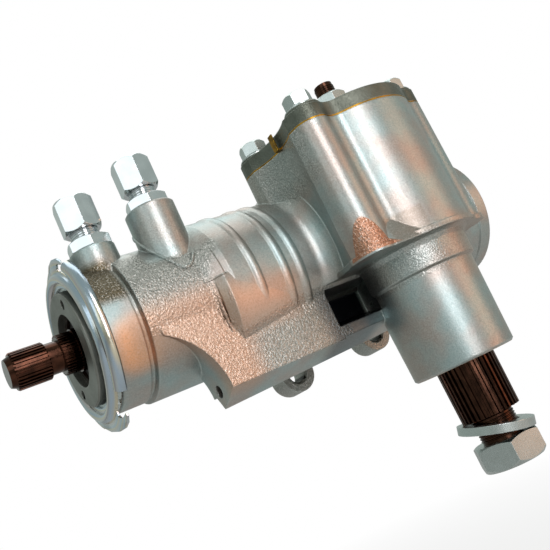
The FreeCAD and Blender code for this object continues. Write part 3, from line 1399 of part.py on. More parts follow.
def retainer_ear(angle):
    """Flat ear with a hooked notch on one side."""
    face_x = RETAINER_FACE_X + 0.8
    start = Vector(face_x, 0, 0)
    half = math.radians(EAR_HALF_ANGLE)
    low = RETAINER_BEAD_CENTRES[0] + 1.5

    def at(radius, offset):
        return start + Vector(0, radius * math.sin(offset), radius * math.cos(offset))

    root = at(low, -half)
    heel = at(EAR_RADIUS - 5.0, -half)
    crown = at(EAR_RADIUS, -half * 0.2)
    hook = at(EAR_RADIUS - 1.0, half * 0.7)
    hook_end = at(EAR_RADIUS - 4.0, half * 0.85)
    notch = at(EAR_RADIUS - 6.5, half * 0.1)
    notch_end = at(low, half * 0.55)
    edges = [
        Part.makeLine(root, heel),
        Part.Arc(heel, crown, hook).toShape(),
        Part.makeLine(hook, hook_end),
        Part.Arc(hook_end, notch, notch_end).toShape(),
        Part.makeLine(notch_end, root),
    ]
    ear = Part.Face(Part.Wire(edges)).extrude(Vector(SHEET, 0, 0))
    ear.rotate(Vector(0, 0, 0), Vector(1, 0, 0), angle - 90.0)
    return ear


def port_adapters():
    """Two flare adapters screwed into the ports."""
    adapters = []
    for index, (x, y, _, top) in enumerate((PRESSURE_PORT, RETURN_PORT)):
        hex_top = top + ADAPTER_HEX_HEIGHT
        stem_top = hex_top + ADAPTER_NECK + CAP_NUT_HEIGHT - CAP_NUT_WALL - 3.0
        lower = rod_z(top - PORT_DEPTH + 1.0, top, ADAPTER_THREAD_RADIUS, x, y)
        turn = ADAPTER_TURN + ADAPTER_TURN_STEP * index
        collar = chamfered_hexagon(top, hex_top, ADAPTER_HEX, x, y, turn, 0.0, 1.2)
        upper = turned_z(
            [
                (0.0, hex_top - 1.0),
                (ADAPTER_TOP_RADIUS, hex_top - 1.0),
                (ADAPTER_TOP_RADIUS, stem_top - 2.0),
                (ADAPTER_TOP_RADIUS - 2.0, stem_top),
                (0.0, stem_top),
            ],
            x,
            y,
        )
        bore = rod_z(top - PORT_DEPTH, stem_top + 1.0, ADAPTER_BORE_RADIUS, x, y)
        adapters.append(lower.fuse([collar, upper]).cut(bore).removeSplitter())
    return Part.makeCompound(adapters)


def port_cap_nuts():
    """Two closed cap nuts that keep the ports clean."""
    nuts = []
    for x, y, _, top in (PRESSURE_PORT, RETURN_PORT):
        low = top + ADAPTER_HEX_HEIGHT + ADAPTER_NECK
        high = low + CAP_NUT_HEIGHT
        blank = chamfered_hexagon(low, high, CAP_NUT_HEX, x, y, CAP_NUT_TURN, 1.6, 2.2)
        thread = rod_z(low - 1.0, high - CAP_NUT_WALL, ADAPTER_TOP_RADIUS + RUNNING, x, y)
        nuts.append(blank.cut(thread))
    return Part.makeCompound(nuts)


def port_seats():
    """Brass cone seats pressed into the bottoms of the ports."""
    seats = []
    for x, y, _, top in (PRESSURE_PORT, RETURN_PORT):
        floor = top - PORT_DEPTH
        seat = rod_z(floor - PORT_SEAT_DEPTH, floor + 0.8, PORT_PASSAGE_RADIUS, x, y)
        hole = rod_z(floor - PORT_SEAT_DEPTH - 1.0, floor + 2.0, PORT_SEAT_HOLE_RADIUS, x, y)
        seats.append(seat.cut(hole))
    return Part.makeCompound(seats)


def rack_piston():
    """Rack piston: three tooth spaces, ball nut bore, return pocket and ring groove."""
    body = turned_x(
        [
            (PISTON_START_X, 0.0),
            (PISTON_START_X, PISTON_RADIUS - 1.5),
            (PISTON_START_X + 1.5, PISTON_RADIUS),
            (PISTON_END_X - 1.5, PISTON_RADIUS),
            (PISTON_END_X, PISTON_RADIUS - 1.5),
            (PISTON_END_X, 0.0),
        ]
    )
    flat = block(
        -RACK_FLAT_HALF,
        RACK_FLAT_HALF,
        -PISTON_RADIUS - 1.0,
        RACK_TIP_Y,
        -PISTON_RADIUS,
        PISTON_RADIUS,
    )
    cuts = [flat]
    for index in (-1, 0, 1):
        cuts.append(rack_space(index * TOOTH_PITCH))
    cuts.append(rod_x(PISTON_START_X - 1.0, PISTON_END_X - RACK_PLUG_LENGTH - 4.0, NUT_BORE_RADIUS))
    cuts.append(rod_x(PISTON_END_X - RACK_PLUG_LENGTH, PISTON_END_X + 1.0, RACK_PLUG_RADIUS + RUNNING))
    groove_end = PISTON_RING_X + PISTON_RING_WIDTH
    cuts.append(sleeve_x(PISTON_RING_X, groove_end, PISTON_RADIUS - PISTON_RING_DEPTH, PISTON_RADIUS + 2.0))
    cuts.append(return_pocket())
    track = ball_track(BALL_ZONE_START - 3.0, BALL_ZONE_END + 3.0, BALL_RADIUS + BALL_TRACK_CLEARANCE)
    cuts.append(track)
    return body.cut(cuts)


def rack_space(centre):
    """Straight-sided space between two rack teeth."""
    half_pitch_width = TOOTH_PITCH / 4.0
    lean = math.tan(PRESSURE_ANGLE)
    tip_half = half_pitch_width + (RACK_PITCH_Y - RACK_TIP_Y + 1.0) * lean
    root_half = half_pitch_width - (RACK_ROOT_Y - RACK_PITCH_Y) * lean
    corners = [
        Vector(centre - tip_half, RACK_TIP_Y - 1.0, -PISTON_RADIUS),
        Vector(centre + tip_half, RACK_TIP_Y - 1.0, -PISTON_RADIUS),
        Vector(centre + root_half, RACK_ROOT_Y, -PISTON_RADIUS),
        Vector(centre - root_half, RACK_ROOT_Y, -PISTON_RADIUS),
    ]
    return prism(corners, Vector(0, 0, 2.0 * PISTON_RADIUS))


def return_pocket():
    """Milled pocket for the ball return guide, with its two ball openings."""
    first = ball_position(0.25).x
    last = ball_position(LOADED_TURNS - 0.75).x
    pocket = block(first - 7.0, last + 7.0, POCKET_FLOOR_Y, PISTON_RADIUS + 1.0, -8.0, 8.0)
    reach = BALL_RADIUS + 0.6
    return pocket.fuse([rod_y(0.0, 20.0, reach, first, 0.0), rod_y(0.0, 20.0, reach, last, 0.0)])


def recirculating_balls():
    """Steel balls of the loaded track, and those on their way back in the guide."""
    balls = []
    count = BALLS_PER_TURN * (LOADED_TURNS - 1)
    for index in range(count):
        turns = 0.25 + (index + 0.5) * (LOADED_TURNS - 1.0) / count
        balls.append(Part.makeSphere(BALL_RADIUS, ball_position(turns)))
    first = ball_position(0.25).x
    last = ball_position(LOADED_TURNS - 0.75).x
    middle = (first + last) / 2.0
    balls.append(Part.makeSphere(BALL_RADIUS, Vector(middle, GUIDE_Y, 0)))
    return Part.makeCompound(balls)


def ball_return_guide():
    """Return guide: a bent tube whose two legs reach into the ball openings."""
    return guide_pipe(BALL_RADIUS + GUIDE_WALL + FACE_GAP).cut(guide_pipe(BALL_RADIUS + FACE_GAP))


def guide_pipe(radius):
    """Round bar along the path of the returning balls."""
    first = ball_position(0.25).x
    last = ball_position(LOADED_TURNS - 0.75).x
    bend = GUIDE_BEND_RADIUS
    low = Vector(first, GUIDE_LOW_Y, 0)
    path = Part.Wire(
        [
            Part.makeLine(low, Vector(first, GUIDE_Y - bend, 0)),
            quarter_bend(Vector(first + bend, GUIDE_Y - bend, 0), math.pi, math.pi / 2.0),
            Part.makeLine(Vector(first + bend, GUIDE_Y, 0), Vector(last - bend, GUIDE_Y, 0)),
            quarter_bend(Vector(last - bend, GUIDE_Y - bend, 0), math.pi / 2.0, 0.0),
            Part.makeLine(Vector(last, GUIDE_Y - bend, 0), Vector(last, GUIDE_LOW_Y, 0)),
        ]
    )
    profile = Part.Wire(Part.Circle(low, Vector(0, 1, 0), radius).toShape())
    return path.makePipeShell([profile], True, True)


def quarter_bend(centre, start, end):
    """Quarter circle of the guide path in the plane of the worm axis."""
    points = []
    for angle in (start, (start + end) / 2.0, end):
        reach = Vector(math.cos(angle), math.sin(angle), 0) * GUIDE_BEND_RADIUS
        points.append(centre + reach)
    return Part.Arc(*points).toShape()


def ball_guide_clamp():
    """Strap that holds the return guide down."""
    first = ball_position(0.25).x
    last = ball_position(LOADED_TURNS - 0.75).x
    middle = (first + last) / 2.0
    half = GUIDE_CLAMP_WIDTH / 2.0
    reach = BALL_RADIUS + GUIDE_WALL + FACE_GAP + RUNNING
    strap = block(middle - half, middle + half, POCKET_FLOOR_Y, GUIDE_Y + reach + 2.0, -7.9, 7.9)
    tunnel = block(middle - half - 1.0, middle + half + 1.0, POCKET_FLOOR_Y - 1.0, GUIDE_Y, -reach, reach)
    return strap.cut([rod_x(middle - half - 1.0, middle + half + 1.0, reach, GUIDE_Y, 0.0), tunnel])


def rack_end_plug():
    """Plug that closes the end of the rack piston, with its square drive."""
    start = PISTON_END_X - RACK_PLUG_LENGTH
    plug = rod_x(start, PISTON_END_X - 0.5, RACK_PLUG_RADIUS)
    return plug.cut(block(PISTON_END_X - 9.0, PISTON_END_X + 1.0, -6.4, 6.4, -6.4, 6.4))


def piston_ring():
    """Sealing ring of the rack piston."""
    start = PISTON_RING_X + 0.05
    end = PISTON_RING_X + PISTON_RING_WIDTH - 0.05
    return sleeve_x(start, end, PISTON_RADIUS - PISTON_RING_DEPTH + 0.05, PISTON_BORE_RADIUS - 0.03)


def end_plug():
    """Housing end plug with a shallow dish on its outer face."""
    return turned_x(
        [
            (END_PLUG_INNER_X, 0.0),
            (END_PLUG_INNER_X, PISTON_BORE_RADIUS - 0.1),
            (END_PLUG_INNER_X + 2.0, PISTON_BORE_RADIUS - 0.1),
            (END_PLUG_INNER_X + 2.0, PISTON_BORE_RADIUS - 2.4),
            (END_PLUG_INNER_X + 5.0, PISTON_BORE_RADIUS - 2.4),
            (END_PLUG_INNER_X + 5.0, PISTON_BORE_RADIUS - 0.1),
            (END_PLUG_OUTER_X, PISTON_BORE_RADIUS - 0.1),
            (END_PLUG_OUTER_X, PISTON_BORE_RADIUS - 5.0),
            (END_PLUG_OUTER_X - 2.5, PISTON_BORE_RADIUS - 8.0),
            (END_PLUG_OUTER_X - 2.5, 9.0),
            (END_PLUG_OUTER_X, 7.0),
            (END_PLUG_OUTER_X, 0.0),
        ]
    )


def end_plug_oring():
    """O-ring in the groove of the end plug."""
    circle = PISTON_BORE_RADIUS - END_ORING_RADIUS - RUNNING
    return ring_groove_x(END_PLUG_INNER_X + 3.5, circle, END_ORING_RADIUS)


def end_retaining_ring():
    """Round wire ring that keeps the end plug in."""
    ring = ring_groove_x(END_RING_X, PISTON_BORE_RADIUS - 0.05, END_RING_RADIUS - 0.05)
    half = END_RING_GAP / 2.0
    gap = block(END_RING_X - 3.0, END_X + 1.0, -half, half, 20.0, 40.0)
    return ring.cut(gap)


NODES = {
    "gear_housing": gear_housing,
    "side_cover": side_cover,
    "side_cover_gasket": side_cover_gasket,
    "cover_bolts": cover_bolts,
    "sector_shaft": sector_shaft,
    "pitman_nut": pitman_nut,
    "pitman_washer": pitman_washer,
    "lash_adjuster_screw": lash_adjuster_screw,
    "lash_adjuster_locknut": lash_adjuster_locknut,
    "sector_upper_bushing": sector_upper_bushing,
    "sector_needle_bearing": sector_needle_bearing,
    "sector_shaft_seals": sector_shaft_seals,
    "sector_backup_washer": sector_backup_washer,
    "sector_retaining_ring": sector_retaining_ring,
    "input_shaft": input_shaft,
    "torsion_bar": torsion_bar,
    "spool_valve": spool_valve,
    "valve_body": valve_body,
    "valve_rings": valve_rings,
    "worm_shaft": worm_shaft,
    "worm_thrust_bearing": worm_thrust_bearing,
    "upper_thrust_bearing": upper_thrust_bearing,
    "adjuster_plug": adjuster_plug,
    "adjuster_locknut": adjuster_locknut,
    "plug_oring": plug_oring,
    "input_needle_bearing": input_needle_bearing,
    "input_oil_seal": input_oil_seal,
    "input_dust_seal": input_dust_seal,
    "input_snap_ring": input_snap_ring,
    "shield_retainer": shield_retainer,
    "port_adapters": port_adapters,
    "port_cap_nuts": port_cap_nuts,
    "port_seats": port_seats,
    "rack_piston": rack_piston,
    "recirculating_balls": recirculating_balls,
    "ball_return_guide": ball_return_guide,
    "ball_guide_clamp": ball_guide_clamp,
    "rack_end_plug": rack_end_plug,
    "piston_ring": piston_ring,
    "end_plug": end_plug,
    "end_plug_oring": end_plug_oring,
    "end_retaining_ring": end_retaining_ring,
}

os.makedirs("parts", exist_ok=True)
for name, build in NODES.items():
    piece = build()
    piece.translate(-DATUM)
    piece.exportStep(f"parts/{name}.step")
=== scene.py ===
"""Looks of an integral power steering gearbox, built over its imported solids.

The gearbox is a zinc-plated iron casting. A worm tube runs along X, and the sector chamber
with its boss runs along Z. The origin is the first frame bolt hole, on the mounting face.
"""

import json
import logging
import math
from dataclasses import dataclass, field
from enum import Enum
from typing import Any, Iterable, Protocol

import bmesh
import bpy
from mathutils import Matrix, Vector, noise
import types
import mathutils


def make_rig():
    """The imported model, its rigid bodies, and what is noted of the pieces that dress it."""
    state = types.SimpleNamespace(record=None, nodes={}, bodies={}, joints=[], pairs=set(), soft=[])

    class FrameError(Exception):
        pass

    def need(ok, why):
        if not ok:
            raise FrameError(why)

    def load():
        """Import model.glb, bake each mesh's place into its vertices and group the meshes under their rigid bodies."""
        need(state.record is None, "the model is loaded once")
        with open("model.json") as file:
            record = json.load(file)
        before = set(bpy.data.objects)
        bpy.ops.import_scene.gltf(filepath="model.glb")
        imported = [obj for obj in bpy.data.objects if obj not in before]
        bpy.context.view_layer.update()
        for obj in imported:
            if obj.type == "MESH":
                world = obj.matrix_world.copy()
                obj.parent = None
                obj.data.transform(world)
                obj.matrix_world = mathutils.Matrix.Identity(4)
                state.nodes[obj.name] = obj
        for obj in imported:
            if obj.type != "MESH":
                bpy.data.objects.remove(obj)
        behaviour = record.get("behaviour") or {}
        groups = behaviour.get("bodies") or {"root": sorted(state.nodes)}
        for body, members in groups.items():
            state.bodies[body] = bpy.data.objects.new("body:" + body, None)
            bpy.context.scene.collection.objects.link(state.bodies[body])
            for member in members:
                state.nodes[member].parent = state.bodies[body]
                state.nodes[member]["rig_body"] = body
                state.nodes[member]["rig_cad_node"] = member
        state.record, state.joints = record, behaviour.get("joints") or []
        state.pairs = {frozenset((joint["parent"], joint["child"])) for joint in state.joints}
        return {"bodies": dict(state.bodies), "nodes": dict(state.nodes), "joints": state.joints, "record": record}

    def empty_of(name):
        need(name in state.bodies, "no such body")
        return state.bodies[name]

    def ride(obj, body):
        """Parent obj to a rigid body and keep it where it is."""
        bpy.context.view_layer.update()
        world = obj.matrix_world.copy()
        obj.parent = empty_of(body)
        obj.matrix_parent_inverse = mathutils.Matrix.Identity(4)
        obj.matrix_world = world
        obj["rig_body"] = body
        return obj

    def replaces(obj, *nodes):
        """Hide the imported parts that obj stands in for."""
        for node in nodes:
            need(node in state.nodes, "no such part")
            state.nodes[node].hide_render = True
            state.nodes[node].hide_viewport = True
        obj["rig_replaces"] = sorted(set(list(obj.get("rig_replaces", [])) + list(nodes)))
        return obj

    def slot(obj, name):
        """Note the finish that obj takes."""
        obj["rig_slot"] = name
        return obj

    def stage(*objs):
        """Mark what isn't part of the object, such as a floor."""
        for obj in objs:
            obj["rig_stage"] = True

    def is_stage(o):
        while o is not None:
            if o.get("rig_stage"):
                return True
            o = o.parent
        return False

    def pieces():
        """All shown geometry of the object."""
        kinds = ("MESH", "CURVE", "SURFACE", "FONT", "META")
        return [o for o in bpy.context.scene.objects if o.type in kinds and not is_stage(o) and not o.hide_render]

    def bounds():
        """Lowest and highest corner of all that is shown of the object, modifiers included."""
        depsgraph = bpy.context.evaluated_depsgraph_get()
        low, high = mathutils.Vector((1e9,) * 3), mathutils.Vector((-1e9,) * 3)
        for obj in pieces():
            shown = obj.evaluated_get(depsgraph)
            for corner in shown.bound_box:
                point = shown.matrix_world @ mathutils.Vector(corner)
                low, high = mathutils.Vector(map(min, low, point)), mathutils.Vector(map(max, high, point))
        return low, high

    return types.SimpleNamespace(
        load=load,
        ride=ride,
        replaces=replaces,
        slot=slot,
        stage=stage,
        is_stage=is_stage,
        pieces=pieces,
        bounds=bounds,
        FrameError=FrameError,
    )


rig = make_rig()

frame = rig.load()

LOG = logging.getLogger("gearbox")
MM = 0.001
Pair = tuple[float, float]
Point = tuple[float, float, float]
Where = str | int
Tree = bpy.types.NodeTree
Socket = bpy.types.NodeSocket
Shape = bmesh.types.BMesh

WORM_AXIS_Y = -45.0
WORM_AXIS_Z = 52.0
SECTOR_AXIS_X = 55.0
SECTOR_AXIS_Y = -90.0
# Middles of the frame bolt holes, as pairs of x and z.
FRAME_BOLTS = ((0.0, 0.0), (63.5, 4.0), (33.0, 98.0))

# Sockets of a Mix node: its share, then what lies under and over, as numbers and as colours.
SHARE, UNDER_VALUE, OVER_VALUE, UNDER, OVER = 0, 2, 3, 6, 7
# Output of a Mix node that mixes colours.
MIXED = 2
# Values between which most of a noise texture lies.
NOISE_SPAN = {"From Min": 0.3, "From Max": 0.7}
# Length of one band of a Wave texture at a scale of one.
WAVE_BAND = 0.314
BEVEL_SAMPLES = 4
# How alike the rounded and the plain direction are on a flat face, and on a full edge.
FLAT_LIKENESS, EDGE_LIKENESS = 0.99, 0.80
SHARP_ANGLE = 35.0
WHITE = (1.0, 1.0, 1.0, 1.0)


class Marks(Enum):
    """Direction in which a cutter or a brush has left its fine lines."""

    NONE = "none"
    RINGS_ALONG_X = "X"
    RINGS_ALONG_Z = "Z"


def linear(code: str) -> tuple[float, float, float, float]:
    """Turn an sRGB hex code into linear light.

    Args:
        code: Colour as #RRGGBB.

    Returns:
        Red, green, blue and an alpha of one.
    """
    parts = [int(code[i : i + 2], 16) / 255.0 for i in (1, 3, 5)]
    light = [p / 12.92 if p <= 0.04045 else ((p + 0.055) / 1.055) ** 2.4 for p in parts]
    return (light[0], light[1], light[2], 1.0)


def add_node(
    tree: Tree, kind: str, inputs: dict[Where, Any] | None = None, **settings: Any
) -> bpy.types.Node:
    """Add one node, with its settings and its inputs.

    Args:
        tree: Tree that gets the node.
        kind: Blender's type name of the node.
        inputs: Socket to value, or to the output that feeds it.
        **settings: Properties of the node.

    Returns:
        The new node.
    """
    node = tree.nodes.new(kind)
    for key, value in settings.items():
        setattr(node, key, value)
    for socket, value in (inputs or {}).items():
        if isinstance(value, Socket):
            tree.links.new(value, node.inputs[socket])
        else:
            node.inputs[socket].default_value = value
    return node


def millimetres(tree: Tree) -> Socket:
    """Place on the object in millimetres.

    Args:
        tree: Tree that gets the nodes.

    Returns:
        Output with the place in the frame of the whole gearbox.
    """
    place = add_node(tree, "ShaderNodeTexCoord")
    scaled = add_node(
        tree,
        "ShaderNodeVectorMath",
        {0: place.outputs["Object"], "Scale": 1.0 / MM},
        operation="SCALE",
    )
    return scaled.outputs[0]


def box_mask(tree: Tree, place: Socket, low: Point, high: Point, soft: float) -> Socket:
    """Mask that is one inside a box and fades out around it.

    Args:
        tree: Tree that gets the nodes.
        place: Place in millimetres.
        low: Lowest corner.
        high: Highest corner.
        soft: Width of the fade in millimetres.

    Returns:
        Output with the mask, from 0 to 1.
    """
    centre = [(a + b) / 2.0 for a, b in zip(low, high)]
    half = [(b - a) / 2.0 for a, b in zip(low, high)]
    away = add_node(tree, "ShaderNodeVectorMath", {0: place, 1: centre}, operation="SUBTRACT")
    side = add_node(tree, "ShaderNodeVectorMath", {0: away.outputs[0]}, operation="ABSOLUTE")
    over = add_node(
        tree, "ShaderNodeVectorMath", {0: side.outputs[0], 1: half}, operation="SUBTRACT"
    )
    out = add_node(
        tree, "ShaderNodeVectorMath", {0: over.outputs[0], 1: (0, 0, 0)}, operation="MAXIMUM"
    )
    gap = add_node(tree, "ShaderNodeVectorMath", {0: out.outputs[0]}, operation="LENGTH")
    fade = add_node(
        tree,
        "ShaderNodeMapRange",
        {"Value": gap.outputs["Value"], "From Max": soft, "To Min": 1.0, "To Max": 0.0},
        interpolation_type="SMOOTHSTEP",
    )
    return fade.outputs[0]


def joined_masks(tree: Tree, masks: Iterable[Socket]) -> Socket:
    """Highest of several masks.

    Args:
        tree: Tree that gets the nodes.
        masks: Masks from 0 to 1.

    Returns:
        Output with the joined mask.
    """
    found = list(masks)
    result = found[0]
    for mask in found[1:]:
        result = add_node(
            tree, "ShaderNodeMath", {0: result, 1: mask}, operation="MAXIMUM"
        ).outputs[0]
    return result


def new_material(name: str) -> tuple[bpy.types.Material, Tree, bpy.types.Node]:
    """Start a material.

    Args:
        name: What the real material is and how its surface was made.

    Returns:
        The material, its tree and its shader.
    """
    material = bpy.data.materials.new(name)
    material.use_nodes = True
    tree = material.node_tree
    tree.nodes.clear()
    shader = add_node(tree, "ShaderNodeBsdfPrincipled")
    add_node(tree, "ShaderNodeOutputMaterial", {"Surface": shader.outputs["BSDF"]})
    return material, tree, shader


def edge_mask(tree: Tree, rounded: Socket) -> Socket:
    """Mask of the edges, where plating wears and where the lighter edge tint is also a painted highlight.

    Args:
        tree: Tree that gets the nodes.
        rounded: Surface direction with its edges rounded.

    Returns:
        Output with the mask, from 0 to 1.
    """
    plain = add_node(tree, "ShaderNodeNewGeometry")
    likeness = add_node(
        tree,
        "ShaderNodeVectorMath",
        {0: rounded, 1: plain.outputs["Normal"]},
        operation="DOT_PRODUCT",
    )
    edge = add_node(
        tree,
        "ShaderNodeMapRange",
        {"Value": likeness.outputs["Value"], "From Min": FLAT_LIKENESS, "From Max": EDGE_LIKENESS},
    )
    return edge.outputs[0]


def cloud_mask(tree: Tree, place: Socket, size_mm: float, detail: float, span: Pair) -> Socket:
    """Mask of soft clouds.

    Args:
        tree: Tree that gets the nodes.
        place: Place in millimetres.
        size_mm: Size of a cloud.
        detail: How much finer structure a cloud has.
        span: Noise values at which the mask starts and is full.

    Returns:
        Output with the mask, from 0 to 1.
    """
    cloud = add_node(
        tree, "ShaderNodeTexNoise", {"Vector": place, "Scale": 1.0 / size_mm, "Detail": detail}
    )
    start, full = span
    mask = add_node(
        tree, "ShaderNodeMapRange", {"Value": cloud.outputs[0], "From Min": start, "From Max": full}
    )
    return mask.outputs[0]


def tinted(tree: Tree, base: str, tints: Iterable[tuple[Socket, str]]) -> Socket:
    """Lay tints over a colour, one after another, each where its mask is.

    Args:
        tree: Tree that gets the nodes.
        base: Colour at the bottom.
        tints: Masks with their colours, from the bottom up.

    Returns:
        Output with the colour on top.
    """
    colour: Any = linear(base)
    for mask, tint in tints:
        colour = add_node(
            tree,
            "ShaderNodeMix",
            {SHARE: mask, UNDER: colour, OVER: linear(tint)},
            data_type="RGBA",
        ).outputs[MIXED]
    return colour


def coat(
    shader: bpy.types.Node,
    colour: Socket,
    gloss: Socket,
    layers: Iterable[tuple[float, Socket]],
    surface: Socket | None = None,
) -> None:
    """Give a shader its colour, its gloss and the relief of its surface.

    Args:
        shader: Shader of the material.
        colour: Output with the colour.
        gloss: Output with the roughness.
        layers: Depths in millimetres with their heights, from the lowest layer up.
        surface: Surface direction under the layers, where it isn't the plain one.
    """
    tree = shader.id_data
    for depth, height in layers:
        under = {} if surface is None else {"Normal": surface}
        surface = add_node(
            tree,
            "ShaderNodeBump",
            {"Strength": 1.0, "Distance": depth * MM, "Height": height, **under},
        ).outputs[0]
    for socket, value in (("Base Color", colour), ("Roughness", gloss), ("Normal", surface)):
        tree.links.new(value, shader.inputs[socket])


class Finish(Protocol):
    """Anything that makes one material."""

    name: str

    def build(self) -> bpy.types.Material:
        """Make the material."""


def material_of(finish: Finish) -> bpy.types.Material:
    """Return the material of a finish, which is made once."""
    return bpy.data.materials.get(finish.name) or finish.build()


@dataclass(frozen=True)
class MetalFinish:
    """Metal with a fine grain and a cloudy tint, and where it has them worn edges with a painted highlight and cut
    lines.
    """

    name: str
    tint: str
    cloud_tint: str
    smooth: float
    rough: float
    grain_mm: float
    grain_depth_mm: float
    cloud_mm: float = 14.0
    cloud_span: Pair = (0.35, 0.65)
    edge_tint: str | None = None
    edge_mm: float = 0.35
    marks: Marks = Marks.NONE
    mark_pitch_mm: float = 0.8
    mark_depth_mm: float = 0.012
    mark_wobble: float = 0.6
    metallic: float = 1.0

    def build(self) -> bpy.types.Material:
        """Make the material.

        Returns:
            The finished material.
        """
        material, tree, shader = new_material(self.name)
        place = millimetres(tree)
        grain = add_node(
            tree,
            "ShaderNodeTexNoise",
            {"Vector": place, "Scale": 1.0 / self.grain_mm, "Detail": 4.0},
        )
        tints = [(cloud_mask(tree, place, self.cloud_mm, 3.0, self.cloud_span), self.cloud_tint)]
        if self.edge_tint is None:
            surface = add_node(tree, "ShaderNodeNewGeometry").outputs["Normal"]
        else:
            surface = add_node(
                tree, "ShaderNodeBevel", {"Radius": self.edge_mm * MM}, samples=BEVEL_SAMPLES
            ).outputs[0]
            # Lighter edges: worn plating and a painted highlight.
            tints.append((edge_mask(tree, surface), self.edge_tint))
        gloss = add_node(
            tree,
            "ShaderNodeMapRange",
            {"Value": grain.outputs[0], **NOISE_SPAN, "To Min": self.smooth, "To Max": self.rough},
        )
        layers = [(self.grain_depth_mm, grain.outputs[0])]
        if self.marks is not Marks.NONE:
            lines = add_node(
                tree,
                "ShaderNodeTexWave",
                {
                    "Vector": place,
                    "Scale": WAVE_BAND / self.mark_pitch_mm,
                    "Distortion": self.mark_wobble,
                    "Detail": 2.0,
                },
                bands_direction=self.marks.value,
            )
            layers.append((self.mark_depth_mm, lines.outputs["Fac"]))
        coat(shader, tinted(tree, self.tint, tints), gloss.outputs[0], layers, surface)
        shader.inputs["Metallic"].default_value = self.metallic
        return material


@dataclass(frozen=True)
class CastRegion:
    """Box of the casting in millimetres, with the width of its fade and how strongly it counts.

    A region with a plane ends there, and lies on the side to which the plane's normal points.
    """

    low: Point
    high: Point
    soft: float
    amount: float = 1.0
    plane_point: Point | None = None
    plane_normal: Point = (0.0, 0.0, 1.0)
    plane_soft: float = 0.25

    def mask(self, tree: Tree, place: Socket) -> Socket:
        """Mask of the region.

        Args:
            tree: Tree that gets the nodes.
            place: Place in millimetres.

        Returns:
            Output with the mask, from 0 to the region's amount.
        """
        inside = box_mask(tree, place, self.low, self.high, self.soft)
        if self.plane_point is not None:
            offset = add_node(
                tree, "ShaderNodeVectorMath", {0: place, 1: self.plane_point}, operation="SUBTRACT"
            )
            height = add_node(
                tree,
                "ShaderNodeVectorMath",
                {0: offset.outputs[0], 1: self.plane_normal},
                operation="DOT_PRODUCT",
            )
            beyond = add_node(
                tree,
                "ShaderNodeMapRange",
                {
                    "Value": height.outputs["Value"],
                    "From Min": -self.plane_soft,
                    "From Max": self.plane_soft,
                },
                interpolation_type="SMOOTHSTEP",
            )
            inside = add_node(
                tree, "ShaderNodeMath", {0: inside, 1: beyond.outputs[0]}, operation="MULTIPLY"
            ).outputs[0]
        if self.amount < 1.0:
            inside = add_node(
                tree, "ShaderNodeMath", {0: inside, 1: self.amount}, operation="MULTIPLY"
            ).outputs[0]
        return inside


@dataclass(frozen=True)
class TintRegion:
    """Region of the casting in another colour, for stains, machined faces, painted warm light and painted shade."""

    region: CastRegion
    tint: str


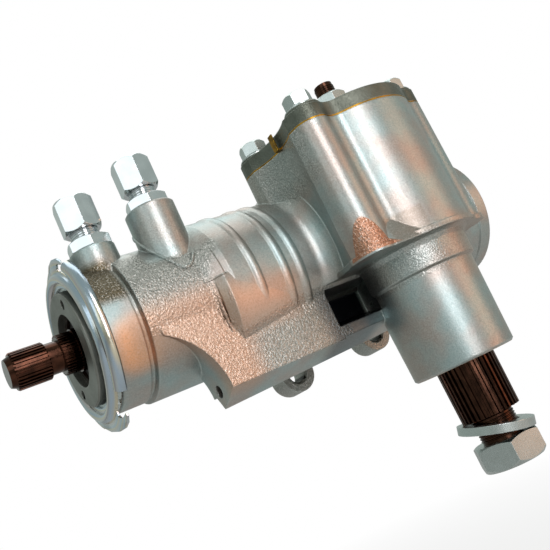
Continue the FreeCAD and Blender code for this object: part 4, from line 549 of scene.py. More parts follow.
@dataclass(frozen=True)
class CastZincFinish:
    """Zinc plate on cast iron: satin where it is smooth, sparkling where the sand shows, partly through bright specks
    that are painted glints.

    Specks lie over the tinted regions, and the painted shade regions over everything.
    """

    name: str
    smooth_tint: str
    cloud_tint: str
    rough_tint: str
    edge_tint: str
    rough_regions: tuple[CastRegion, ...]
    smooth_regions: tuple[CastRegion, ...]
    raised_regions: tuple[CastRegion, ...]
    tint_regions: tuple[TintRegion, ...]
    painted_shade_regions: tuple[TintRegion, ...]
    painted_glint_speck: str = "#DCDAD4"
    dark_speck: str = "#4E504A"
    painted_glint_span: Pair = (0.53, 0.66)
    dark_span: Pair = (0.47, 0.34)
    cloud_mm: float = 24.0
    cloud_span: Pair = (0.38, 0.62)
    sand_mm: float = 0.75
    sand_depth_mm: float = 0.34
    sand_gloss: Pair = (0.40, 0.20)
    sand_speck: float = 0.40
    pebble_mm: float = 1.05
    satin_mm: float = 0.6
    satin_depth_mm: float = 0.06
    satin_gloss: Pair = (0.30, 0.46)
    satin_speck: float = 0.17
    raise_mm: float = 0.5
    edge_mm: float = 1.1
    metallic: float = 0.92

    def tint(self, tree: Tree, place: Socket, sandy: Socket, rounded: Socket) -> Socket:
        """Colour of the plating, with painted warm light, painted glints and painted shade laid over it.

        Args:
            tree: Tree that gets the nodes.
            place: Place in millimetres.
            sandy: Mask of the sandy skin.
            rounded: Surface direction with its edges rounded.

        Returns:
            Output with the colour.
        """
        tints = [
            (cloud_mask(tree, place, self.cloud_mm, 4.0, self.cloud_span), self.cloud_tint),
            (sandy, self.rough_tint),
            # Lighter edges: worn plating and a painted highlight.
            (edge_mask(tree, rounded), self.edge_tint),
        ]
        tints += [(patch.region.mask(tree, place), patch.tint) for patch in self.tint_regions]
        grain = add_node(
            tree,
            "ShaderNodeTexNoise",
            {"Vector": place, "Scale": 1.0 / self.sand_mm, "Detail": 2.0},
        )
        depth = add_node(
            tree,
            "ShaderNodeMapRange",
            {"Value": sandy, "To Min": self.satin_speck, "To Max": self.sand_speck},
        )
        # Bright specks are painted glints; dark specks darken the grain.
        for tint, (low, high) in (
            (self.painted_glint_speck, self.painted_glint_span),
            (self.dark_speck, self.dark_span),
        ):
            fleck = add_node(
                tree,
                "ShaderNodeMapRange",
                {"Value": grain.outputs[0], "From Min": low, "From Max": high},
            )
            share = add_node(
                tree,
                "ShaderNodeMath",
                {0: fleck.outputs[0], 1: depth.outputs[0]},
                operation="MULTIPLY",
            )
            tints.append((share.outputs[0], tint))
        tints += [(patch.region.mask(tree, place), patch.tint) for patch in self.painted_shade_regions]
        return tinted(tree, self.smooth_tint, tints)

    def build(self) -> bpy.types.Material:
        """Make the material.

        Returns:
            The finished material.
        """
        material, tree, shader = new_material(self.name)
        place = millimetres(tree)
        rounded = add_node(
            tree, "ShaderNodeBevel", {"Radius": self.edge_mm * MM}, samples=BEVEL_SAMPLES
        ).outputs[0]
        rough = joined_masks(tree, [r.mask(tree, place) for r in self.rough_regions])
        smooth = joined_masks(tree, [r.mask(tree, place) for r in self.smooth_regions])
        unsmooth = add_node(tree, "ShaderNodeMath", {0: 1.0, 1: smooth}, operation="SUBTRACT")
        sandy = add_node(
            tree, "ShaderNodeMath", {0: rough, 1: unsmooth.outputs[0]}, operation="MULTIPLY"
        )
        raised = joined_masks(tree, [r.mask(tree, place) for r in self.raised_regions])

        sand = add_node(
            tree,
            "ShaderNodeTexNoise",
            {"Vector": place, "Scale": 1.0 / self.sand_mm, "Detail": 3.0, "Roughness": 0.6},
        )
        pebble = add_node(
            tree,
            "ShaderNodeTexVoronoi",
            {"Vector": place, "Scale": 1.0 / self.pebble_mm},
            feature="SMOOTH_F1",
        )
        satin = add_node(
            tree,
            "ShaderNodeTexNoise",
            {"Vector": place, "Scale": 1.0 / self.satin_mm, "Detail": 3.0},
        )
        glosses = [
            add_node(
                tree,
                "ShaderNodeMapRange",
                {"Value": skin.outputs[0], **NOISE_SPAN, "To Min": low, "To Max": high},
            ).outputs[0]
            for skin, (low, high) in ((satin, self.satin_gloss), (sand, self.sand_gloss))
        ]
        gloss = add_node(
            tree,
            "ShaderNodeMix",
            {SHARE: sandy.outputs[0], UNDER_VALUE: glosses[0], OVER_VALUE: glosses[1]},
            data_type="FLOAT",
        )
        grit = add_node(
            tree,
            "ShaderNodeMath",
            {0: sand.outputs[0], 1: pebble.outputs["Distance"]},
            operation="SUBTRACT",
        )
        grit_height = add_node(
            tree, "ShaderNodeMath", {0: grit.outputs[0], 1: sandy.outputs[0]}, operation="MULTIPLY"
        )
        layers = (
            (self.satin_depth_mm, satin.outputs[0]),
            (self.sand_depth_mm, grit_height.outputs[0]),
            (self.raise_mm, raised),
        )
        colour = self.tint(tree, place, sandy.outputs[0], rounded)
        coat(shader, colour, gloss.outputs[0], layers, rounded)
        shader.inputs["Metallic"].default_value = self.metallic
        return material


class FilmWave(Enum):
    """Wave across the film that a colour follows, which sets its place in a band."""

    FIRST = "SINE"
    SECOND = "COSINE"


@dataclass(frozen=True)
class FilmColour:
    """One colour of the film: its wave, the wave's values where it starts and peaks, its share."""

    tint: str
    wave: FilmWave
    start: float
    peak: float
    share: float


@dataclass(frozen=True)
class RainbowZincFinish:
    """Bright zinc with a passivate film, whose thickness shows as faint coloured bands."""

    name: str
    plate: str = "#B9C0C2"
    film: tuple[FilmColour, ...] = (
        FilmColour("#CDBD92", FilmWave.FIRST, 0.1, 1.0, 0.55),
        FilmColour("#9DB2C6", FilmWave.SECOND, 0.1, 1.0, 0.6),
        FilmColour("#C3A6A4", FilmWave.SECOND, -0.4, -1.0, 0.35),
    )
    band_mm: float = 3.4
    drift_mm: float = 30.0
    drift_bands: float = 1.1
    scuff_mm: float = 0.9
    scuff_depth_mm: float = 0.012
    scuff_span: Pair = (0.35, 0.7)
    gloss: Pair = (0.13, 0.29)
    edge_mm: float = 0.4

    def bands(self, tree: Tree, place: Socket) -> Socket:
        """Angle that makes one turn in each band, counted outwards from the worm axis.

        Args:
            tree: Tree that gets the nodes.
            place: Place in millimetres.

        Returns:
            Output with the angle in radians.
        """
        axis = (0.0, WORM_AXIS_Y, WORM_AXIS_Z)
        offset = add_node(tree, "ShaderNodeVectorMath", {0: place, 1: axis}, operation="SUBTRACT")
        flat = add_node(
            tree,
            "ShaderNodeVectorMath",
            {0: offset.outputs[0], 1: (0.0, 1.0, 1.0)},
            operation="MULTIPLY",
        )
        reach = add_node(tree, "ShaderNodeVectorMath", {0: flat.outputs[0]}, operation="LENGTH")
        drift = add_node(
            tree,
            "ShaderNodeTexNoise",
            {"Vector": place, "Scale": 1.0 / self.drift_mm, "Detail": 1.0},
        )
        moved = add_node(
            tree,
            "ShaderNodeMath",
            {0: drift.outputs[0], 1: self.drift_bands * self.band_mm, 2: reach.outputs["Value"]},
            operation="MULTIPLY_ADD",
        )
        turn = add_node(
            tree,
            "ShaderNodeMath",
            {0: moved.outputs[0], 1: math.tau / self.band_mm},
            operation="MULTIPLY",
        )
        return turn.outputs[0]

    def build(self) -> bpy.types.Material:
        """Make the material.

        Returns:
            The finished material.
        """
        material, tree, shader = new_material(self.name)
        place = millimetres(tree)
        turn = self.bands(tree, place)
        tints = []
        for hue in self.film:
            wave = add_node(tree, "ShaderNodeMath", {0: turn}, operation=hue.wave.value)
            share = add_node(
                tree,
                "ShaderNodeMapRange",
                {
                    "Value": wave.outputs[0],
                    "From Min": hue.start,
                    "From Max": hue.peak,
                    "To Max": hue.share,
                },
            )
            tints.append((share.outputs[0], hue.tint))
        scuff = add_node(
            tree,
            "ShaderNodeTexNoise",
            {"Vector": place, "Scale": 1.0 / self.scuff_mm, "Detail": 5.0, "Roughness": 0.7},
        )
        (low, high), (smooth, rough) = self.scuff_span, self.gloss
        gloss = add_node(
            tree,
            "ShaderNodeMapRange",
            {
                "Value": scuff.outputs[0],
                "From Min": low,
                "From Max": high,
                "To Min": smooth,
                "To Max": rough,
            },
        )
        rounded = add_node(
            tree, "ShaderNodeBevel", {"Radius": self.edge_mm * MM}, samples=BEVEL_SAMPLES
        )
        layers = [(self.scuff_depth_mm, scuff.outputs[0])]
        coat(shader, tinted(tree, self.plate, tints), gloss.outputs[0], layers, rounded.outputs[0])
        shader.inputs["Metallic"].default_value = 1.0
        return material


@dataclass(frozen=True)
class MouldedFinish:
    """Moulded rubber or plastic: no metal, a faint mould grain and a little bloom."""

    name: str
    tint: str
    bloom_tint: str
    gloss: Pair
    grain_mm: float = 0.5
    grain_depth_mm: float = 0.02
    bloom_mm: float = 7.0
    bloom_span: Pair = (0.45, 0.7)

    def build(self) -> bpy.types.Material:
        """Make the material.

        Returns:
            The finished material.
        """
        material, tree, shader = new_material(self.name)
        place = millimetres(tree)
        grain = add_node(
            tree,
            "ShaderNodeTexNoise",
            {"Vector": place, "Scale": 1.0 / self.grain_mm, "Detail": 3.0},
        )
        bloom = cloud_mask(tree, place, self.bloom_mm, 2.0, self.bloom_span)
        smooth, rough = self.gloss
        gloss = add_node(
            tree,
            "ShaderNodeMapRange",
            {"Value": grain.outputs[0], **NOISE_SPAN, "To Min": smooth, "To Max": rough},
        )
        layers = [(self.grain_depth_mm, grain.outputs[0])]
        coat(shader, tinted(tree, self.tint, [(bloom, self.bloom_tint)]), gloss.outputs[0], layers)
        return material


# Regions and tints that the casting's finish uses more than once.
LOBE_PATCH = CastRegion(
    low=(0.0, -130.0, 33.2),
    high=(28.0, -104.0, 52.0),
    soft=0.4,
    plane_point=(15.56, -122.99, 47.41),
    plane_normal=(-0.502, -0.808, -0.3095),
)
MOUNTING_FACE = CastRegion((-20.0, -0.25, -20.0), (80.0, 1.0, 112.0), 0.2)
BORE_HALF = 4.2
BOLT_BORES = tuple(
    CastRegion((x - BORE_HALF, -14.9, z - BORE_HALF), (x + BORE_HALF, -1.0, z + BORE_HALF), 0.7)
    for x, z in FRAME_BOLTS
)
MACHINED_TINT = "#B9AFA3"
# Painted shade inside the threaded bolt bores.
BORE_SHADE_TINT = "#2B2723"

# Sand-cast iron under clear zinc: grey-green satin that sparkles where the sand left pebbles, partly through painted
# glints.
# Moulding sand has grains of about 0.3 mm, which are drawn at 0.75 mm so that they show.
HOUSING_ZINC = CastZincFinish(
    name="zinc_on_sand_cast_iron",
    smooth_tint="#9BABAA",
    cloud_tint="#A69E97",
    rough_tint="#93948E",
    edge_tint="#B9C2BE",
    rough_regions=(
        # Shoulder of the worm tube, and its collar behind the retainer.
        CastRegion((-98.0, -83.0, 52.0), (-50.0, -8.0, 96.0), 3.0),
        CastRegion((-116.0, -79.0, 62.0), (-102.0, -15.0, 84.0), 5.0),
        # Face of the web.
        CastRegion((-99.0, -84.0, -8.0), (4.0, -81.0, 56.0), 0.8, 0.75),
        # Valley beside the chamber, and the chamber's rim with the near lobe.
        CastRegion((-6.0, -112.0, 84.0), (14.0, -50.0, 112.0), 8.0, 0.7),
        CastRegion((18.0, -130.0, 14.0), (94.0, -50.0, 33.0), 1.5, 0.45),
        LOBE_PATCH,
        # Mounting ears.
        CastRegion((-15.0, -15.0, -15.0), (80.0, -0.5, 112.0), 1.0, 0.8),
    ),
    smooth_regions=(
        # Bosses of the pressure port and the return port.
        CastRegion((-82.0, -80.0, 76.0), (-50.0, -48.0, 112.0), 4.0, 0.85),
        CastRegion((-115.0, -72.0, 84.0), (-87.0, -42.0, 100.0), 2.0, 0.85),
        MOUNTING_FACE,
    ),
    # Pad on the shoulder.
    raised_regions=(CastRegion((-63.0, -92.0, 54.5), (-53.5, -76.0, 72.0), 0.7),),
    tint_regions=(
        # Stained collar, then painted warm reflections on the nose and the tube, and painted warm light on the web.
        TintRegion(CastRegion((-116.0, -80.0, 64.0), (-103.0, -15.0, 82.5), 6.0, 0.9), "#55492F"),
        TintRegion(CastRegion((-108.0, -90.0, 34.0), (-104.0, -76.0, 41.0), 14.0, 0.9), "#FFB883"),
        TintRegion(CastRegion((-50.0, -92.0, 32.0), (-22.0, -86.0, 38.0), 15.0, 0.6), "#E2B191"),
        TintRegion(CastRegion((-101.0, -84.0, -6.0), (-60.0, -82.0, 44.0), 15.0, 0.9), "#BC9E89"),
        # Painted shade on the end of the web, by the pocket.
        TintRegion(CastRegion((-10.0, -84.0, -2.0), (2.0, -82.0, 24.0), 24.0, 0.6), "#8A867C"),
        # Rough patch on the near lobe, warmed with painted warm light; painted shade on the foot in the hollow beside
        # it; and painted warm light on the right side of the rim.
        TintRegion(LOBE_PATCH, "#AE8066"),
        TintRegion(CastRegion((25.0, -128.0, 34.0), (44.0, -112.0, 46.0), 3.0, 0.6), "#8A7F72"),
        TintRegion(CastRegion((62.0, -128.0, 8.0), (96.0, -92.0, 34.0), 8.0, 0.7), "#B09A8B"),
        # Machined faces: the mounting face, the end of the boss and the end of the tube.
        TintRegion(MOUNTING_FACE, MACHINED_TINT),
        TintRegion(CastRegion((20.0, -125.0, -36.0), (90.0, -55.0, -34.8), 0.2), MACHINED_TINT),
        TintRegion(CastRegion((-118.0, -90.0, 0.0), (-116.8, 0.0, 100.0), 0.2), MACHINED_TINT),
    ),
    painted_shade_regions=(
        # Painted shade round the pocket, painted shade in the pocket itself, and painted shade in the threaded bores.
        TintRegion(CastRegion((-3.0, -94.0, 0.0), (18.0, -60.0, 24.0), 12.0, 0.7), "#39464D"),
        TintRegion(CastRegion((2.0, -79.5, 7.0), (28.0, -40.0, 25.0), 3.5), "#0A0C10"),
        *(TintRegion(bore, BORE_SHADE_TINT) for bore in BOLT_BORES),
    ),
)

# Cast cover and end plug under the same zinc: duller, and a little stained.
COVER_ZINC = MetalFinish(
    name="zinc_on_cast_cover",
    tint="#6F736A",
    cloud_tint="#595D54",
    edge_tint="#A3A8A0",
    smooth=0.36,
    rough=0.56,
    grain_mm=1.1,
    grain_depth_mm=0.22,
    edge_mm=0.9,
)
# Bright zinc on turned steel: near mirror, with faint clouds from the bath.
BRIGHT_ZINC = MetalFinish(
    name="bright_zinc_on_steel",
    tint="#D4D9DB",
    cloud_tint="#C8CDCF",
    edge_tint="#F0F2F3",
    smooth=0.08,
    rough=0.15,
    grain_mm=1.6,
    grain_depth_mm=0.006,
    cloud_mm=9.0,
)
# Forged steel under zinc, on bolts, nuts and the pitman washer: softer than the turned caps.
FORGED_ZINC = MetalFinish(
    name="zinc_on_forged_steel",
    tint="#B4BCBA",
    cloud_tint="#AEB6B3",
    edge_tint="#DDE2E1",
    smooth=0.25,
    rough=0.31,
    grain_mm=1.2,
    grain_depth_mm=0.010,
    cloud_mm=6.0,
    edge_mm=0.5,
)
# Bare hardened steel under a film of old oil: dark bronze, and glossy on the small splines.
OILED_STEEL = MetalFinish(
    name="oiled_hardened_steel",
    tint="#4E3125",
    cloud_tint="#36231B",
    smooth=0.09,
    rough=0.16,
    grain_mm=1.4,
    grain_depth_mm=0.006,
    cloud_mm=5.0,
)
# The same steel on the sector shaft, whose oil has dried: less glossy.
OILED_SECTOR_STEEL = MetalFinish(
    name="oiled_hardened_sector_steel",
    tint="#4C3327",
    cloud_tint="#35241C",
    smooth=0.15,
    rough=0.26,
    grain_mm=1.4,
    grain_depth_mm=0.006,
    cloud_mm=5.0,
)
# Ground steel: bright, with the wheel's fine rings.
GROUND_STEEL = MetalFinish(
    name="ground_bearing_steel",
    tint="#B9BABA",
    cloud_tint="#A3A4A4",
    edge_tint="#E2E3E3",
    smooth=0.14,
    rough=0.24,
    grain_mm=0.8,
    grain_depth_mm=0.008,
    marks=Marks.RINGS_ALONG_X,
    mark_pitch_mm=0.7,
    mark_depth_mm=0.006,
)
# Phosphated turned steel: matt dark grey, as a fine etch leaves it.
DARK_PHOSPHATE = MetalFinish(
    name="phosphated_turned_steel",
    tint="#8B8C86",
    cloud_tint="#787973",
    edge_tint="#A9AAA5",
    smooth=0.42,
    rough=0.56,
    grain_mm=0.7,
    grain_depth_mm=0.03,
    edge_mm=0.5,
)
# Brass seat: turned and left bare, so yellow with fine rings.
TURNED_BRASS = MetalFinish(
    name="turned_brass",
    tint="#C8A35A",
    cloud_tint="#B08C49",
    edge_tint="#E6CC8E",
    smooth=0.18,
    rough=0.30,
    grain_mm=0.8,
    grain_depth_mm=0.01,
    marks=Marks.RINGS_ALONG_Z,
)
# Steel-cored gasket with a gold coating, dull and a little oily.
GOLD_GASKET = MetalFinish(
    name="gold_coated_gasket_sheet",
    tint="#B98A22",
    cloud_tint="#5E471C",
    edge_tint="#D9B04E",
    smooth=0.32,
    rough=0.50,
    grain_mm=0.8,
    grain_depth_mm=0.02,
    cloud_mm=7.0,
    edge_mm=0.2,
)
# Pressed sheet under rainbow zinc: mirror bright, with yellow, blue and pink bands.
RETAINER_ZINC = RainbowZincFinish(name="rainbow_zinc_on_pressed_sheet")
# Moulded nitrile rubber: soft black with a grey bloom.
SEAL_RUBBER = MouldedFinish(
    name="moulded_nitrile_rubber", tint="#161617", bloom_tint="#232325", gloss=(0.44, 0.60)
)
# Filled polymer of the sealing rings: dark green-grey and a little smoother than rubber.
RING_POLYMER = MouldedFinish(
    name="filled_sealing_ring_polymer", tint="#30352F", bloom_tint="#3A403A", gloss=(0.34, 0.50)
)


@dataclass
class SubAssembly:
    """Pieces that are fitted together, and the body that they ride on."""

    body: str

    def dress(self, finish: Finish, *nodes: str) -> None:
        """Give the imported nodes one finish.

        Args:
            finish: Finish that makes the material.
            *nodes: Names of the nodes.
        """
        material = material_of(finish)
        for name in nodes:
            mesh = frame["nodes"][name].data
            for index in range(len(mesh.materials)):
                mesh.materials[index] = material
            LOG.info("dressed %s in %s", name, material.name)

    def build(self) -> None:
        """Make and dress the pieces, which each group does in its own way."""
        raise NotImplementedError

    def keep(self, name: str, shape: Shape, finish: Finish, slot: str) -> bpy.types.Object:
        """Turn a finished shape into a piece that rides on the body.

        Args:
            name: Name of the piece.
            shape: Its mesh, in metres and in place. It is freed.
            finish: Its finish.
            slot: Slot of the record that the piece belongs to.

        Returns:
            The new piece.
        """
        bmesh.ops.recalc_face_normals(shape, faces=shape.faces[:])
        mesh = bpy.data.meshes.new(name)
        shape.to_mesh(mesh)
        shape.free()
        mesh.shade_smooth()
        mesh.set_sharp_from_angle(angle=math.radians(SHARP_ANGLE))
        mesh.materials.append(material_of(finish))
        piece = bpy.data.objects.new(name, mesh)
        bpy.context.scene.collection.objects.link(piece)
        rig.ride(piece, self.body)
        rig.slot(piece, slot)
        LOG.info("made %s with %d faces", name, len(mesh.polygons))
        return piece


@dataclass(frozen=True)
class ScrewThread:
    """Upright screw thread: radius of its stem, height of the ridge, rise in a turn, and turns."""

    radius: float
    depth: float
    pitch: float
    turns: float
    sunk: float = 0.15
    foot_share: float = 0.42
    crest_share: float = 0.22
    steps_in_turn: int = 36

    def ridge(self, base: Point) -> Shape:
        """Wind the thread round its stem as one ridge.

        Args:
            base: Middle of the stem where the thread starts, in millimetres.

        Returns:
            The ridge, in metres.
        """
        shape = bmesh.new()
        centre = Vector(base)
        inner, outer = self.radius - self.sunk, self.radius + self.depth
        foot = self.pitch * self.foot_share
        crest = foot * self.crest_share
        outline = [(inner, -foot), (outer, -crest), (outer, crest), (inner, foot)]
        ring = [shape.verts.new((centre + Vector((r, 0.0, z))) * MM) for r, z in outline]
        steps = round(self.steps_in_turn * self.turns)
        bmesh.ops.spin(
            shape,
            geom=[shape.faces.new(ring)],
            cent=centre * MM,
            axis=(0.0, 0.0, 1.0),
            dvec=(0.0, 0.0, self.pitch * self.turns * MM / steps),
            angle=math.tau * self.turns,
            steps=steps,
            use_merge=False,
            use_duplicate=False,
        )
        return shape


@dataclass
class Casting(SubAssembly):
    """Cast housing, with the ridges that the mould left on it and the foot of its port boss.

    Places and sizes are in millimetres. A pace is how fast the unevenness of a bead changes
    along it and across it.
    """

    shoulder_rib: tuple[Point, Point] = ((-55.9, -89.2, 47.0), (-55.0, -82.2, 21.5))
    web_rib: tuple[Point, Point] = ((-60.2, -84.0, 47.0), (-59.8, -81.9, 26.5))
    rib_width: float = 1.5
    rib_height: float = 0.9
    foot_line: tuple[Point, ...] = (
        (-78.9, -60.1, 94.7),
        (-79.4, -65.5, 88.9),
        (-78.3, -69.7, 83.8),
        (-76.2, -72.8, 79.0),
        (-74.1, -76.7, 73.8),
        (-71.5, -79.5, 69.0),
        (-68.9, -80.9, 65.9),
        (-66.2, -81.0, 65.6),
        (-62.8, -79.8, 68.4),
        (-59.9, -78.6, 72.6),
    )
    foot_width: float = 2.0
    foot_lap: float = 0.6
    rib_cuts: int = 5
    foot_cuts: int = 3
    wave_pace: Point = (7.0, 1.4, 1.4)
    ripple_pace: Point = (19.0, 3.0, 3.0)
    strong_swell: float = 0.45
    weak_swell: float = 0.25

    def build(self) -> None:
        """Dress the casting and add its mould marks and the foot ridge."""
        self.dress(HOUSING_ZINC, "gear_housing")
        for name, ridge in (
            ("shoulder_mould_rib", self.mould_rib(*self.shoulder_rib)),
            ("web_mould_rib", self.mould_rib(*self.web_rib)),
            ("port_boss_foot_ridge", self.foot_ridge()),
        ):
            self.keep(name, ridge, HOUSING_ZINC, "cast_housing")

    def mould_rib(self, start: Point, end: Point) -> Shape:
        """Uneven bead of iron along a joint of the mould.

        Args:
            start: One end, in millimetres.
            end: The other end.

        Returns:
            The bead, in metres.
        """
        shape = bmesh.new()
        width, height = self.rib_width / 2.0, self.rib_height
        self.bead(shape, Vector(start), Vector(end), width, height, self.rib_cuts)
        return shape

    def foot_ridge(self) -> Shape:
        """Ridge round the pointed foot of the pressure port's boss.

        Returns:
            The ridge, in metres.
        """
        shape = bmesh.new()
        points = [Vector(point) for point in self.foot_line]
        half = self.foot_width / 2.0
        for start, end in zip(points, points[1:]):
            lap = (end - start).normalized() * self.foot_width * self.foot_lap
            self.bead(shape, start - lap, end + lap, half, half, self.foot_cuts)
        return shape

    def bead(
        self, shape: Shape, start: Vector, end: Vector, half_width: float, height: float, cuts: int
    ) -> None:
        """Add one long bead with an uneven skin.

        Args:
            shape: Mesh that gets the bead.
            start: One end, in millimetres.
            end: The other end.
            half_width: Half of its width.
            height: How far it stands up.
            cuts: How finely the ball that it starts from is cut.
        """
        ball = bmesh.ops.create_icosphere(shape, subdivisions=cuts, radius=1.0)["verts"]
        for vert in ball:
            wave, ripple = (
                noise.noise(Vector([place * pace for place, pace in zip(vert.co, paces)]))
                for paces in (self.wave_pace, self.ripple_pace)
            )
            vert.co.y *= 1.0 + self.strong_swell * wave + self.weak_swell * ripple
            vert.co.z *= 1.0 + self.strong_swell * ripple + self.weak_swell * wave
        span = end - start
        bmesh.ops.scale(shape, vec=(span.length / 2.0, half_width, height), verts=ball)
        lie = span.to_track_quat("X", "Z").to_matrix().to_4x4()
        bmesh.ops.transform(shape, matrix=lie, verts=ball)
        bmesh.ops.translate(shape, vec=(start + end) / 2.0, verts=ball)
        bmesh.ops.scale(shape, vec=(MM, MM, MM), verts=ball)


@dataclass
class PortFittings(SubAssembly):
    """Adapters and cap nuts of the two oil ports, with the threads seen between them."""

    thread_bases: tuple[Point, ...] = ((-66.0, -64.0, 112.2), (-101.0, -57.0, 101.2))
    neck_thread: ScrewThread = ScrewThread(radius=7.1, depth=0.62, pitch=1.3, turns=3.1)

    def build(self) -> None:
        """Dress the fittings and thread their necks."""
        self.dress(BRIGHT_ZINC, "port_cap_nuts", "port_adapters")
        self.dress(TURNED_BRASS, "port_seats")
        for number, base in enumerate(self.thread_bases, start=1):
            ridge = self.neck_thread.ridge(base)
            self.keep(f"port_thread_{number}", ridge, BRIGHT_ZINC, "plated_steel")


@dataclass
class CoverGroup(SubAssembly):
    """Side cover with its gasket, bolts and lash adjuster."""

    thread_base: Point = (SECTOR_AXIS_X, SECTOR_AXIS_Y, 134.9)
    screw_thread: ScrewThread = ScrewThread(radius=5.5, depth=0.4, pitch=1.25, turns=4.6)

    def build(self) -> None:
        """Dress the cover and thread its adjuster."""
        self.dress(COVER_ZINC, "side_cover")
        self.dress(GOLD_GASKET, "side_cover_gasket")
        self.dress(FORGED_ZINC, "cover_bolts", "lash_adjuster_locknut")
        self.dress(OILED_SECTOR_STEEL, "lash_adjuster_screw")
        ridge = self.screw_thread.ridge(self.thread_base)
        self.keep("lash_adjuster_thread", ridge, OILED_SECTOR_STEEL, "oiled_steel")


@dataclass
class SectorOutput(SubAssembly):
    """Sector shaft with its splines, washer and nut."""

    thread_base: Point = (SECTOR_AXIS_X, SECTOR_AXIS_Y, -77.6)
    end_thread: ScrewThread = ScrewThread(radius=11.1, depth=0.5, pitch=1.5, turns=7.0)

    def build(self) -> None:
        """Dress the shaft and thread its end."""
        self.dress(OILED_SECTOR_STEEL, "sector_shaft")
        self.dress(FORGED_ZINC, "pitman_nut", "pitman_washer")
        ridge = self.end_thread.ridge(self.thread_base)
        self.keep("pitman_thread", ridge, OILED_SECTOR_STEEL, "oiled_steel")


@dataclass
class InputEnd(SubAssembly):
    """Adjuster plug, its locking ring, and the seals, snap ring and bearings round the stub shaft."""

    def build(self) -> None:
        """Dress the fixed pieces round the stub shaft."""
        self.dress(DARK_PHOSPHATE, "adjuster_plug")
        self.dress(FORGED_ZINC, "adjuster_locknut")
        self.dress(SEAL_RUBBER, "input_dust_seal", "input_oil_seal", "plug_oring")
        self.dress(OILED_STEEL, "input_snap_ring")
        self.dress(
            GROUND_STEEL, "input_needle_bearing", "upper_thrust_bearing", "worm_thrust_bearing"
        )


